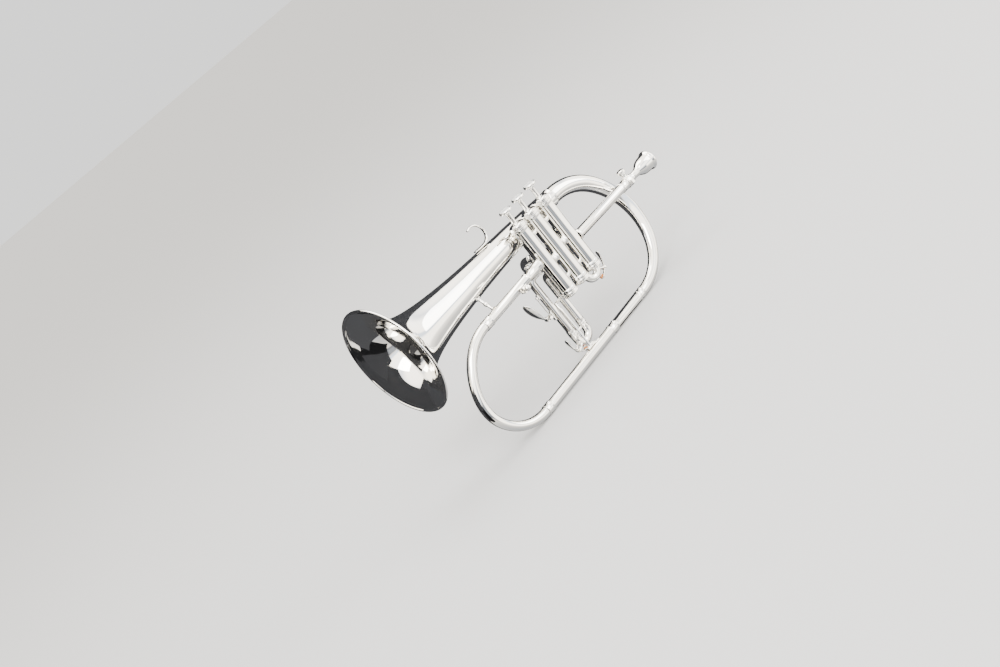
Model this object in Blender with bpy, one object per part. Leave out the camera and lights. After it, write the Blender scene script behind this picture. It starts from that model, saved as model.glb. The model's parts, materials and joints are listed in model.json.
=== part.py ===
"""Three-valve flugelhorn, modelled as the pieces it is soldered and screwed together from.

Units in the tables below are millimetres; every mesh is built in metres (see MM).
Row frame: -X is forward (bell), +X is towards the player, +Z is up (finger buttons),
-Y is the player's left and +Y the player's right (bell side).
The origin is on the second valve's axis, half way up its casing.
"""
import math

import bmesh
import bpy
from mathutils import Matrix, Vector

MM = 0.001
GAP = 0.3                      # clearance between neighbouring pieces

# Valve block
VALVE_PITCH = 25.4
VALVE_X = {1: VALVE_PITCH, 2: 0.0, 3: -VALVE_PITCH}
CASING_R = 10.0
CASING_BORE = 8.55
CASING_TOP = 50.5
CASING_BOTTOM = -47.0
CAP_R = 10.9
CAP_TOP = 59.0
CAP_BOTTOM = -54.6
PISTON_R = 8.25
PISTON_TOP = 46.0
PISTON_BOTTOM = -20.0
STEM_R = 2.7
BUTTON_R = 8.6
BUTTON_UNDER = 75.4
BUTTON_TOP = 79.0
PEARL_R = 6.9

# Bell: axis falls slightly from the rim to the tail
BELL_Y = 27.5
BELL_RIM = (-253.0, BELL_Y, 46.8)
BELL_TAIL = (60.0, BELL_Y, 39.0)
BELL_WALL = 0.8
RIM_R = 75.0
BEAD_R = 1.5
# distance behind the rim plane, outer radius
BELL_OUTLINE = [(3.5, 67.5), (8.0, 58.6), (15.0, 49.6), (26.0, 41.2), (42.0, 34.6), (66.0, 29.2),
                (98.0, 24.8), (140.0, 20.9), (190.0, 17.9), (233.0, 16.1), (273.0, 13.8),
                (313.0, 11.2)]

# Rear bow, lower tube, front bow and exit tube
REAR_CENTRE = (60.0, -41.8)
REAR_RADIUS = 80.8
LOWER_Z = REAR_CENTRE[1] - REAR_RADIUS
EXIT_Z = 2.4
FRONT_RADIUS = (EXIT_Z - LOWER_Z) / 2
FRONT_CENTRE = (-148.5, (EXIT_Z + LOWER_Z) / 2)
FRONT_LEAN = 8.5               # how far the lower half of the front bow is set forward
TUBE_WALL = 0.8

# Leadpipe line, falling slightly towards the player
LEAD_START = Vector((CASING_R + VALVE_PITCH + 2 * GAP, 0.0, -10.4))
LEAD_DIR = Vector((1.0, 0.0, -0.034)).normalized()
SLEEVE_R = 6.2
SLEEVE_BORE = 5.2
SLEEVE_END = 108.0             # stations along the leadpipe line, from its start
COLLAR_START = 108.3
COLLAR_END = 117.0
MOUTHPIPE_START = 58.0
MOUTHPIPE_END = 122.5
MOUTHPIPE_R = 4.8
SHANK_START = 96.0
MOUTHPIECE_LENGTH = 66.0

# Valve slides
LEG_R = 5.0
LEG_BORE = 4.6
INNER_R = 4.25
INNER_BORE = 3.7
BOW_R = 5.1
CROOK = 8.0                    # straight length of a bow before it turns
LEG_SIDES = 10
BOW_STEPS = 7

SILVER = "silver_plate"
INNER_SILVER = "inner_tube_silver"

MATERIALS = {
    SILVER: ((0.86, 0.84, 0.80), 1.0, 0.12),
    INNER_SILVER: ((0.80, 0.79, 0.76), 1.0, 0.30),
    "mother_of_pearl": ((0.90, 0.89, 0.86), 0.0, 0.22),
    "spring_steel": ((0.42, 0.42, 0.43), 1.0, 0.35),
    "felt": ((0.20, 0.05, 0.05), 0.0, 0.95),
    "cork": ((0.66, 0.38, 0.16), 0.0, 0.85),
    "piston_metal": ((0.62, 0.61, 0.58), 1.0, 0.28),
}


# ---------------------------------------------------------------- helpers
def clear_scene():
    for old in list(bpy.data.objects):
        bpy.data.objects.remove(old, do_unlink=True)


def material(name):
    existing = bpy.data.materials.get(name)
    if existing:
        return existing
    colour, metallic, roughness = MATERIALS[name]
    made = bpy.data.materials.new(name)
    made.use_nodes = True
    shader = made.node_tree.nodes["Principled BSDF"]
    shader.inputs["Base Color"].default_value = (*colour, 1.0)
    shader.inputs["Metallic"].default_value = metallic
    shader.inputs["Roughness"].default_value = roughness
    return made


def finish(name, mesh_builder, finish_name, matrix):
    """Turn a bmesh into a named, smooth-shaded object."""
    bmesh.ops.recalc_face_normals(mesh_builder, faces=mesh_builder.faces)
    mesh = bpy.data.meshes.new(name)
    mesh_builder.to_mesh(mesh)
    mesh_builder.free()
    mesh.materials.append(material(finish_name))
    mesh.shade_smooth()
    mesh.set_sharp_from_angle(angle=math.radians(35))
    made = bpy.data.objects.new(name, mesh)
    bpy.context.scene.collection.objects.link(made)
    made.matrix_world = matrix
    return made


def bridge_rings(builder, ring_a, ring_b):
    """Faces between two rings; a ring of one vertex is a pole."""
    count = max(len(ring_a), len(ring_b))
    for i in range(count):
        j = (i + 1) % count
        corners = [ring_a[i % len(ring_a)], ring_a[j % len(ring_a)],
                   ring_b[j % len(ring_b)], ring_b[i % len(ring_b)]]
        unique = list(dict.fromkeys(corners))
        builder.faces.new(unique)


def lathe(name, profile, origin, axis, finish_name=SILVER, segments=24):
    """Turn (station, radius) points about a line; station runs along axis from origin.

    A profile that touches the axis at both ends is a solid; any other is closed on itself.
    """
    builder = bmesh.new()
    rings = []
    for station, radius in profile:
        if radius == 0:
            rings.append([builder.verts.new((0, 0, station * MM))])
            continue
        ring = []
        for i in range(segments):
            angle = math.tau * i / segments
            ring.append(builder.verts.new((radius * math.cos(angle) * MM,
                                           radius * math.sin(angle) * MM, station * MM)))
        rings.append(ring)
    for ring_a, ring_b in zip(rings, rings[1:]):
        bridge_rings(builder, ring_a, ring_b)
    if profile[0][1] and profile[-1][1]:
        bridge_rings(builder, rings[-1], rings[0])
    turn = Vector(axis).to_track_quat("Z", "Y").to_matrix().to_4x4()
    return finish(name, builder, finish_name, Matrix.Translation(Vector(origin) * MM) @ turn)


def tube_profile(start, end, radius, bore):
    return [(start, radius), (end, radius), (end, bore), (start, bore)]


def frames_along(points, end_tangents=None):
    """Tangent and a twist-free side vector at every point of a path."""
    tangents = []
    for i in range(len(points)):
        before = points[max(i - 1, 0)]
        after = points[min(i + 1, len(points) - 1)]
        tangents.append((after - before).normalized())
    if end_tangents:
        tangents[0] = Vector(end_tangents[0]).normalized()
        tangents[-1] = Vector(end_tangents[1]).normalized()
    side = tangents[0].orthogonal().normalized()
    sides = []
    for tangent in tangents:
        side = (side - tangent * side.dot(tangent)).normalized()
        sides.append(side)
    return tangents, sides


def sweep(name, stations, anchor, finish_name=SILVER, sides_count=10, ends=None):
    """Round tube along (point, radius, bore) stations; bore 0 everywhere makes a rod.

    ends are the exact directions of the path at its two cut faces.
    """
    points = [Vector(station[0]) for station in stations]
    tangents, sides = frames_along(points, ends)
    base = Vector(anchor)
    builder = bmesh.new()

    def ring(index, radius):
        across = tangents[index].cross(sides[index])
        made = []
        for i in range(sides_count):
            angle = math.tau * i / sides_count
            spoke = sides[index] * math.cos(angle) + across * math.sin(angle)
            made.append(builder.verts.new((points[index] + spoke * radius - base) * MM))
        return made

    outer = [ring(i, station[1]) for i, station in enumerate(stations)]
    for ring_a, ring_b in zip(outer, outer[1:]):
        bridge_rings(builder, ring_a, ring_b)
    if stations[0][2]:
        inner = [ring(i, station[2]) for i, station in enumerate(stations)]
        for ring_a, ring_b in zip(inner, inner[1:]):
            bridge_rings(builder, ring_a, ring_b)
        bridge_rings(builder, outer[0], inner[0])
        bridge_rings(builder, outer[-1], inner[-1])
    else:
        builder.faces.new(outer[0])
        builder.faces.new(outer[-1])
    return finish(name, builder, finish_name, Matrix.Translation(base * MM))


def strap(name, stations, y, anchor, finish_name=SILVER, corners=10):
    """Flat bar in the XZ plane: (x, z, half width along Y, half thickness) stations."""
    points = [Vector((x, y, z)) for x, z, _, _ in stations]
    tangents, _ = frames_along(points)
    base = Vector(anchor)
    builder = bmesh.new()
    rings = []
    for point, tangent, station in zip(points, tangents, stations):
        across = Vector((0, 1, 0))
        normal = tangent.cross(across).normalized()
        ring = []
        for i in range(corners):
            angle = math.tau * (i + 0.5) / corners
            flat = across * math.cos(angle) * station[2]
            thick = normal * math.sin(angle) * station[3]
            ring.append(builder.verts.new((point + flat + thick - base) * MM))
        rings.append(ring)
    for ring_a, ring_b in zip(rings, rings[1:]):
        bridge_rings(builder, ring_a, ring_b)
    builder.faces.new(rings[0])
    builder.faces.new(rings[-1])
    return finish(name, builder, finish_name, Matrix.Translation(base * MM))


def rod(name, start, end, radius, finish_name=SILVER, segments=12):
    start = Vector(start)
    span = Vector(end) - start
    profile = [(0, 0), (0, radius), (span.length, radius), (span.length, 0)]
    return lathe(name, profile, start, span, finish_name, segments)


def block(name, centre, size, finish_name=SILVER):
    builder = bmesh.new()
    bmesh.ops.create_cube(builder, size=1.0)
    bmesh.ops.scale(builder, vec=Vector(size) * MM, verts=builder.verts)
    return finish(name, builder, finish_name, Matrix.Translation(Vector(centre) * MM))


def combine(target, operand, operation):
    """Join or cut with an operand that stays in the file as a hidden guide."""
    operand.hide_render = True
    operand.display_type = "WIRE"
    change = target.modifiers.new(operand.name, "BOOLEAN")
    change.operation = operation
    change.object = operand


def join(target, *operands):
    for operand in operands:
        combine(target, operand, "UNION")


def cut(target, *operands):
    for operand in operands:
        combine(target, operand, "DIFFERENCE")


def arc(centre, radius, first_deg, last_deg, steps):
    """(x, z) points of an arc."""
    points = []
    for i in range(steps + 1):
        angle = math.radians(first_deg + (last_deg - first_deg) * i / steps)
        points.append((centre[0] + radius * math.cos(angle), centre[1] + radius * math.sin(angle)))
    return points


def bezier(p0, p1, p2, p3, steps):
    p0, p1, p2, p3 = (Vector(p) for p in (p0, p1, p2, p3))
    points = []
    for i in range(steps + 1):
        t = i / steps
        u = 1 - t
        points.append(p0 * u ** 3 + p1 * 3 * u * u * t + p2 * 3 * u * t * t + p3 * t ** 3)
    return points


def smoothstep(t):
    t = min(max(t, 0.0), 1.0)
    return t * t * (3 - 2 * t)


# ---------------------------------------------------------------- main tubing
def bell_axis():
    return (Vector(BELL_TAIL) - Vector(BELL_RIM)).normalized()


def bell_radius(x):
    """Outer radius of the bell where its axis is at this x."""
    distance = x - BELL_RIM[0]
    for (d0, r0), (d1, r1) in zip(BELL_OUTLINE, BELL_OUTLINE[1:]):
        if d0 <= distance <= d1:
            return r0 + (r1 - r0) * (distance - d0) / (d1 - d0)
    return BELL_OUTLINE[-1][1]


def bell_point(x):
    share = (x - BELL_RIM[0]) / (BELL_TAIL[0] - BELL_RIM[0])
    return Vector((x, BELL_Y, BELL_RIM[2] + share * (BELL_TAIL[2] - BELL_RIM[2])))


def make_bell():
    """Flare turned from the outline, with a rolled bead at the rim."""
    outside = BELL_OUTLINE[::-1]
    inside = [(station - 0.3, radius - BELL_WALL) for station, radius in BELL_OUTLINE]
    inside[0] = (2.6, RIM_R - 7.6)
    inside[-1] = (BELL_OUTLINE[-1][0], BELL_OUTLINE[-1][1] - BELL_WALL)
    outer_rim = [(2 * BEAD_R, RIM_R - BEAD_R), (1.6 * BEAD_R, RIM_R - 0.3), (BEAD_R, RIM_R)]
    inner_rim = [(0.3 * BEAD_R, RIM_R - 0.4), (0.0, RIM_R - BEAD_R), (0.5 * BEAD_R, RIM_R - 2.4)]
    lathe("bell", outside + outer_rim + inner_rim + inside, BELL_RIM, bell_axis(), segments=30)


def rear_bow_station(angle):
    """Centre and outer radius of the rear bow; -90 is its foot and 90 meets the bell."""
    x = REAR_CENTRE[0] + REAR_RADIUS * math.cos(math.radians(angle))
    z = REAR_CENTRE[1] + REAR_RADIUS * math.sin(math.radians(angle))
    y = BELL_Y * smoothstep((angle + 75) / 125)
    return (x, y, z), 6.6 + 4.5 * smoothstep((angle + 70) / 150)


def make_rear_bow():
    stations = []
    for step in range(17):
        centre, radius = rear_bow_station(-90 + 180 * step / 16)
        stations.append((centre, radius, radius - TUBE_WALL))
    first = stations[0]
    last = stations[-1]
    stations[0] = ((first[0][0] + GAP, *first[0][1:]), first[1], first[2])
    stations[-1] = ((last[0][0] + 2 * GAP, *last[0][1:]), last[1], last[2])
    sweep("rear_bow", stations, (REAR_CENTRE[0], 0, REAR_CENTRE[1]), sides_count=12,
          ends=((1, 0, 0), (-1, 0, 0)))


def make_lower_tube():
    front = FRONT_CENTRE[0] - FRONT_LEAN
    length = REAR_CENTRE[0] - front
    ring = length - 75.0
    outside = [(0, 6.1), (ring, 6.3), (ring + 0.4, 7.1), (ring + 12, 7.1), (ring + 12.4, 6.4),
               (length, 6.6)]
    inside = [(length, 5.8), (0, 5.3)]
    lathe("lower_tube", outside + inside, (front, 0, LOWER_Z), (1, 0, 0), segments=14)


def make_front_bow():
    stations = []
    for x, z in arc(FRONT_CENTRE, FRONT_RADIUS, 90, 270, 12):
        lean = FRONT_LEAN * smoothstep((EXIT_Z - z) / 90)
        stations.append(((x - GAP - lean, 0.0, z), 6.1, 5.3))
    sweep("front_bow", stations, (FRONT_CENTRE[0], 0, FRONT_CENTRE[1]), ends=((-1, 0, 0), (1, 0, 0)))


def make_exit_tube():
    start = -VALVE_PITCH - CASING_R - GAP
    length = start - FRONT_CENTRE[0]
    outside = [(0, 6.5), (27, 6.5), (27.6, 5.9), (length, 6.1)]
    inside = [(length, 5.3), (0, 5.0)]
    lathe("exit_tube", outside + inside, (start, 0, EXIT_Z), (-1, 0, 0), segments=14)


# ---------------------------------------------------------------- valves
def make_casing(number):
    x = VALVE_X[number]
    name = f"valve_casing_{number}"
    profile = tube_profile(CASING_BOTTOM, CASING_TOP, CASING_R, CASING_BORE)
    casing = lathe(name, profile, (x, 0, 0), (0, 0, 1), segments=20)
    if number == 2:
        for z in (33.0, -33.5):
            for side in (-1, 1):
                join(casing, make_bridge(side, z))


def make_bridge(side, z):
    """Short bar from the middle casing to a neighbour, ending just short of it."""
    reach = VALVE_PITCH - CASING_R - GAP
    return block(f"guide_bridge_{side}_{z}", (side * (9.4 + reach) / 2, 0, z), (reach - 9.4, 4.6, 3.6))


def make_knuckle(first, second, z):
    """Air passage between two casings, saddle-cut to both."""
    a = VALVE_X[first]
    b = VALVE_X[second]
    middle = (a + b) / 2
    knuckle = rod(f"knuckle_{first}{second}", (middle - 7, 0, z), (middle + 7, 0, z), 5.2, segments=16)
    for x in (a, b):
        cutter = lathe(f"guide_knuckle_{first}{second}_{x}",
                       [(-12, 0), (-12, CASING_R + GAP), (12, CASING_R + GAP), (12, 0)],
                       (x, 0, z), (0, 0, 1), segments=20)
        cut(knuckle, cutter)


def make_top_cap(number):
    hole = STEM_R + 0.5
    profile = [(CASING_TOP + GAP, CAP_R), (CAP_TOP - 3.2, CAP_R), (CAP_TOP - 1.0, CAP_R - 2.4),
               (CAP_TOP, CAP_R - 6.0), (CAP_TOP, hole), (CAP_TOP - 2.2, hole),
               (CAP_TOP - 3.4, CASING_BORE - 0.6), (CASING_TOP + GAP, CASING_BORE)]
    lathe(f"top_cap_{number}", profile, (VALVE_X[number], 0, 0), (0, 0, 1), segments=16)


def make_bottom_cap(number):
    floor = CAP_BOTTOM + 2.8
    profile = [(CASING_BOTTOM - GAP, CAP_R), (CAP_BOTTOM + 3.2, CAP_R), (CAP_BOTTOM + 1.6, CAP_R - 1.4),
               (CAP_BOTTOM + 1.0, 5.0), (CAP_BOTTOM, 4.4), (CAP_BOTTOM, 1.6), (floor, 1.6),
               (floor, CASING_BORE - 0.8), (CASING_BOTTOM - GAP, CASING_BORE)]
    lathe(f"bottom_cap_{number}", profile, (VALVE_X[number], 0, 0), (0, 0, 1), segments=16)


def make_piston(number):
    x = VALVE_X[number]
    profile = [(PISTON_BOTTOM, 0), (PISTON_BOTTOM, PISTON_R), (PISTON_TOP, PISTON_R), (PISTON_TOP, 0)]
    piston = lathe(f"piston_{number}", profile, (x, 0, 0), (0, 0, 1), "piston_metal", 16)
    for index, (z, turn) in enumerate(((-9.0, 20), (6.0, 80), (24.0, 140))):
        reach = Vector((math.cos(math.radians(turn)), math.sin(math.radians(turn)), 0.18)) * 12
        middle = Vector((x, 0, z))
        cut(piston, rod(f"guide_port_{number}_{index}", middle - reach, middle + reach, 4.4, segments=8))


def make_felt(number):
    profile = tube_profile(PISTON_TOP + GAP, PISTON_TOP + 3.2, 7.4, STEM_R + 0.4)
    lathe(f"valve_felt_{number}", profile, (VALVE_X[number], 0, 0), (0, 0, 1), "felt", 10)


def make_button(number):
    """Stem with the finger button turned on its top, recessed for the pearl."""
    recess = PEARL_R + GAP
    floor = BUTTON_TOP - 1.7
    profile = [(PISTON_TOP + GAP, 0), (PISTON_TOP + GAP, STEM_R), (BUTTON_UNDER - 3.0, STEM_R),
               (BUTTON_UNDER - 0.4, STEM_R + 1.5), (BUTTON_UNDER, BUTTON_R - 1.0),
               (BUTTON_UNDER + 0.9, BUTTON_R), (BUTTON_TOP - 0.9, BUTTON_R),
               (BUTTON_TOP - 0.2, BUTTON_R - 0.7), (BUTTON_TOP - 0.2, recess), (floor, recess),
               (floor, 0)]
    lathe(f"finger_button_{number}", profile, (VALVE_X[number], 0, 0), (0, 0, 1), segments=14)


def make_pearl(number):
    low = BUTTON_TOP - 1.7 + GAP
    profile = [(low, 0), (low, PEARL_R), (BUTTON_TOP - 0.5, PEARL_R), (BUTTON_TOP, PEARL_R - 0.8),
               (BUTTON_TOP, 0)]
    lathe(f"pearl_{number}", profile, (VALVE_X[number], 0, 0), (0, 0, 1), "mother_of_pearl", 14)


def make_spring(number):
    """Compression spring between the piston and the bottom cap."""
    low = CAP_BOTTOM + 3.8
    high = PISTON_BOTTOM - 1.0
    turns = 5
    steps = 8 * turns
    stations = []
    for i in range(steps + 1):
        angle = math.tau * turns * i / steps
        z = low + (high - low) * i / steps
        point = (VALVE_X[number] + 5.8 * math.cos(angle), 5.8 * math.sin(angle), z)
        stations.append((point, 0.6, 0))
    sweep(f"valve_spring_{number}", stations, (VALVE_X[number], 0, low), "spring_steel", 4)


# ---------------------------------------------------------------- leadpipe and mouthpiece
def lead(station, y=0.0, up=0.0):
    """Point on the leadpipe line, with an offset across and up."""
    point = LEAD_START + LEAD_DIR * station
    return (point.x, point.y + y, point.z + up)


def make_sleeve():
    profile = [(0, 6.8), (3, 6.8), (3.4, SLEEVE_R), (SLEEVE_END, SLEEVE_R), (SLEEVE_END, SLEEVE_BORE),
               (0, SLEEVE_BORE)]
    lathe("leadpipe_sleeve", profile, LEAD_START, LEAD_DIR, segments=16)


def make_collar():
    bore = MOUTHPIPE_R + 0.4
    profile = [(COLLAR_START, bore), (COLLAR_START, 7.4), (COLLAR_START + 1, 8.0), (COLLAR_END - 1, 8.0),
               (COLLAR_END, 7.4), (COLLAR_END, bore)]
    collar = lathe("clamp_collar", profile, LEAD_START, LEAD_DIR, segments=16)
    middle = (COLLAR_START + COLLAR_END) / 2
    boss = rod("guide_collar_boss", lead(middle, up=6.5), lead(middle, up=12.0), 3.4)
    hole = rod("guide_collar_hole", lead(middle, up=1.0), lead(middle, up=14.0), 1.9)
    lug = block("guide_collar_lug", lead(middle, y=-8.6, up=-1.0), (4.6, 3.4, 6.0))
    join(collar, boss, lug)
    cut(collar, hole)


def make_clamp_screw():
    low = 5.4
    knob = 12.5
    profile = [(low, 0), (low, 1.5), (knob, 1.5), (knob + 0.3, 4.6), (knob + 0.9, 5.3), (knob + 4.4, 5.3),
               (knob + 5.0, 4.6), (knob + 5.2, 2.4), (knob + 6.2, 0)]
    middle = (COLLAR_START + COLLAR_END) / 2
    lathe("clamp_screw", profile, lead(middle), (0, 0, 1), segments=16)


def make_mouthpipe():
    profile = [(MOUTHPIPE_START, MOUTHPIPE_R), (COLLAR_END + 1.5, MOUTHPIPE_R),
               (COLLAR_END + 1.8, 5.7), (MOUTHPIPE_END - 0.6, 5.7), (MOUTHPIPE_END, 5.3),
               (MOUTHPIPE_END, 4.3), (MOUTHPIPE_START, 4.0)]
    lathe("mouthpipe", profile, LEAD_START, LEAD_DIR, INNER_SILVER, 14)


def make_mouthpiece():
    start = SHANK_START
    end = SHANK_START + MOUTHPIECE_LENGTH
    outside = [(start, 3.1), (MOUTHPIPE_END + GAP, 3.8), (MOUTHPIPE_END + 1, 4.6), (end - 31, 5.0),
               (end - 26, 6.6), (end - 20, 9.6), (end - 13, 11.4), (end - 6, 11.8), (end - 4.4, 13.2),
               (end - 1.6, 13.6), (end - 0.2, 12.4)]
    cup = [(end, 10.6), (end - 0.9, 9.0), (end - 2.8, 8.3), (end - 8, 7.4), (end - 15, 5.0),
           (end - 24, 2.4), (start, 2.4)]
    lathe("mouthpiece", outside + cup, LEAD_START, LEAD_DIR, segments=16)


# ---------------------------------------------------------------- valve slides
def leg_to_casing(name, foot, turn_z, bend, valve, end_z):
    """Outer slide leg: straight up from end_z, then a bend of given radius into the valve."""
    axis_point = Vector((VALVE_X[valve], 0, 0))
    base = Vector((foot[0], foot[1], 0))
    inward = (axis_point - base).normalized()
    stations = [((foot[0], foot[1], end_z), LEG_R + 0.5, LEG_BORE),
                ((foot[0], foot[1], end_z + 5), LEG_R + 0.5, LEG_BORE),
                ((foot[0], foot[1], end_z + 5.4), LEG_R, LEG_BORE)]
    for i in range(6):
        angle = math.pi / 2 * i / 5
        point = base + inward * bend * (1 - math.cos(angle))
        point.z = turn_z - bend + bend * math.sin(angle)
        stations.append((point, LEG_R, LEG_BORE))
    reach = (axis_point - base).length - CASING_R - 0.5
    if reach > bend + 0.5:
        end = base + inward * reach
        end.z = turn_z
        stations.append((end, LEG_R, LEG_BORE))
    sweep(name, stations, (foot[0], foot[1], end_z), sides_count=LEG_SIDES, ends=((0, 0, 1), inward))


def slide_bow_stations(front, rear, end, travel_in):
    """Movable U: two inner legs and the bow, in a plane through both legs.

    end is the unit vector along which the slide pulls out; front and rear are the
    centres of the outer legs' open ends.
    """
    across = rear - front
    radius = across.length / 2
    across.normalize()
    middle = (front + rear) / 2
    seat = middle + end * 0.6
    crook = seat + end * CROOK
    stations = [(front - end * travel_in, INNER_R, INNER_BORE), (front + end * 0.5, INNER_R, INNER_BORE),
                (front + end * 0.6, BOW_R, INNER_BORE)]
    for i in range(BOW_STEPS + 1):
        angle = math.pi * i / BOW_STEPS
        point = crook - across * radius * math.cos(angle) + end * radius * math.sin(angle)
        stations.append((point, BOW_R, INNER_BORE))
    stations += [(rear + end * 0.6, BOW_R, INNER_BORE), (rear + end * 0.5, INNER_R, INNER_BORE),
                 (rear - end * travel_in, INNER_R, INNER_BORE)]
    return stations


DOWN = Vector((0, 0, -1))

SLIDE1_Y = 17.0
SLIDE1_X = (20.5, 40.5)
SLIDE1_END = -50.0

SLIDE3_Y = 16.5
SLIDE3_X = (-49.3, -28.3)
SLIDE3_END = -93.0

SLIDE2_DIR = Vector((-0.2, 0.98, 0.0)).normalized()
SLIDE2_Z = (0.0, -16.0)
SLIDE2_END = 46.0


def make_slide1():
    leg_to_casing("slide1_leg_front", (SLIDE1_X[0], SLIDE1_Y), 12.0, 7.0, 1, SLIDE1_END)
    leg_to_casing("slide1_leg_rear", (SLIDE1_X[1], SLIDE1_Y), -25.0, 8.0, 1, SLIDE1_END)
    front = Vector((SLIDE1_X[0], SLIDE1_Y, SLIDE1_END))
    rear = Vector((SLIDE1_X[1], SLIDE1_Y, SLIDE1_END))
    bow = sweep("slide1_bow", slide_bow_stations(front, rear, DOWN, 15.0), (front + rear) / 2,
                sides_count=LEG_SIDES)
    join(bow, *water_key_seat("slide1", WATER1))


def make_slide2():
    for name, z in zip(("upper", "lower"), SLIDE2_Z):
        origin = Vector((0, 0, z))
        profile = [(CASING_R + GAP, LEG_R), (SLIDE2_END - 5.4, LEG_R), (SLIDE2_END - 5, LEG_R + 0.5),
                   (SLIDE2_END, LEG_R + 0.5), (SLIDE2_END, LEG_BORE), (CASING_R + GAP, LEG_BORE)]
        lathe(f"slide2_leg_{name}", profile, origin, SLIDE2_DIR, segments=LEG_SIDES)
    upper = SLIDE2_DIR * SLIDE2_END + Vector((0, 0, SLIDE2_Z[0]))
    lower = SLIDE2_DIR * SLIDE2_END + Vector((0, 0, SLIDE2_Z[1]))
    sweep("slide2_bow", slide_bow_stations(upper, lower, SLIDE2_DIR, 22.0), (upper + lower) / 2,
          sides_count=LEG_SIDES)


def make_slide3():
    front_x, rear_x = SLIDE3_X
    rise = bezier((front_x, SLIDE3_Y, -16), (front_x, SLIDE3_Y, -5.8), (-42.0, 14.7, -5.8),
                  (-33.8, 7.3, -5.8), 6)
    stations = [((front_x, SLIDE3_Y, SLIDE3_END), LEG_R + 0.5, LEG_BORE),
                ((front_x, SLIDE3_Y, SLIDE3_END + 5), LEG_R + 0.5, LEG_BORE),
                ((front_x, SLIDE3_Y, SLIDE3_END + 5.4), LEG_R, LEG_BORE)]
    stations += [(point, LEG_R, LEG_BORE) for point in rise]
    sweep("slide3_leg_front", stations, (front_x, SLIDE3_Y, SLIDE3_END), sides_count=LEG_SIDES,
          ends=((0, 0, 1), (8.2, -7.4, 0)))
    leg_to_casing("slide3_leg_rear", (rear_x, SLIDE3_Y), -18.0, 6.7, 3, SLIDE3_END)
    front = Vector((front_x, SLIDE3_Y, SLIDE3_END))
    rear = Vector((rear_x, SLIDE3_Y, SLIDE3_END))
    bow = sweep("slide3_bow", slide_bow_stations(front, rear, DOWN, 28.0), (front + rear) / 2,
                sides_count=LEG_SIDES)
    join(bow, *water_key_seat("slide3", WATER3))


# ---------------------------------------------------------------- water keys
# pivot and cork seat in the slide's own plane; side is the way the thumb end leans
WATER1 = {"y": SLIDE1_Y, "bow": (30.5, SLIDE1_END - 0.6 - CROOK), "radius": 10.0, "side": 1,
          "pivot_deg": -30.0, "cork_deg": -63.0}
WATER3 = {"y": SLIDE3_Y, "bow": (-38.8, SLIDE3_END - 0.6 - CROOK), "radius": 10.5, "side": -1,
          "pivot_deg": -148.0, "cork_deg": -115.0}
PIVOT_OUT = 6.0                # pivot distance outside the bow's skin
SEAT_OUT = 1.6
CORK_LENGTH = 2.2


def polar(key, degrees, out):
    reach = key["radius"] + BOW_R + out
    angle = math.radians(degrees)
    return Vector((key["bow"][0] + reach * math.cos(angle), key["y"],
                   key["bow"][1] + reach * math.sin(angle)))


def water_key_seat(prefix, key):
    """Saddle post with its pivot pin, and the short nipple that the cork closes."""
    pivot = polar(key, key["pivot_deg"], PIVOT_OUT)
    parts = []
    root = polar(key, key["pivot_deg"], -2.8)
    for index, side in enumerate((-1, 1)):
        shift = Vector((0, side * 3.9, 0))
        reach = (pivot - root).normalized() * 1.6
        parts.append(rod(f"guide_{prefix}_post_{index}", root + shift, pivot + reach + shift, 1.1,
                         segments=8))
    across = Vector((0, 4.6, 0))
    parts.append(rod(f"guide_{prefix}_pin", pivot - across, pivot + across, 0.9, segments=8))
    parts.append(rod(f"guide_{prefix}_nipple", polar(key, key["cork_deg"], -1.5),
                     polar(key, key["cork_deg"], SEAT_OUT), 2.4, segments=10))
    return parts


def make_water_key(number, key):
    pivot = polar(key, key["pivot_deg"], PIVOT_OUT)
    side = key["side"]
    cork_out = SEAT_OUT + GAP + CORK_LENGTH + GAP
    hub = lathe(f"water_key_{number}", tube_profile(-2.2, 2.2, 2.3, 1.3), pivot, (0, 1, 0), segments=14)
    cup_base = polar(key, key["cork_deg"], cork_out)
    cup_top = polar(key, key["cork_deg"], cork_out + 1.5)
    cup = rod(f"guide_cup_{number}", cup_base, cup_top, 3.4, segments=14)
    mid_deg = (key["cork_deg"] + key["pivot_deg"]) / 2
    arm_mid = polar(key, mid_deg, cork_out + 1.6)
    arm = strap(f"guide_cork_arm_{number}",
                [(pivot.x + side * 0.2, pivot.z - 1.9, 1.6, 0.8), (arm_mid.x, arm_mid.z, 1.5, 0.7),
                 (cup_top.x, cup_top.z, 1.4, 0.7)], key["y"], pivot, corners=8)
    thumb = strap(f"guide_thumb_arm_{number}",
                  [(pivot.x + side * 1.7, pivot.z - 0.4, 1.5, 0.8),
                   (pivot.x + side * 4.2, pivot.z + 5.5, 1.6, 0.7),
                   (pivot.x + side * 6.0, pivot.z + 13.0, 2.4, 0.7),
                   (pivot.x + side * 6.6, pivot.z + 19.0, 3.2, 0.8),
                   (pivot.x + side * 6.4, pivot.z + 21.0, 1.4, 0.6)], key["y"], pivot, corners=8)
    join(hub, cup, arm, thumb)
    rod(f"water_cork_{number}", polar(key, key["cork_deg"], SEAT_OUT + GAP),
        polar(key, key["cork_deg"], SEAT_OUT + GAP + CORK_LENGTH), 2.9, "cork", 14)


# ---------------------------------------------------------------- third-slide trigger
TRIGGER_PIVOT = Vector((-60.3, SLIDE3_Y, -58.5))
TRIGGER_ARM_Y = SLIDE3_Y + 8.0
LINK_X = -38.8
LINK_Y = SLIDE3_Y + 3.6


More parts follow.
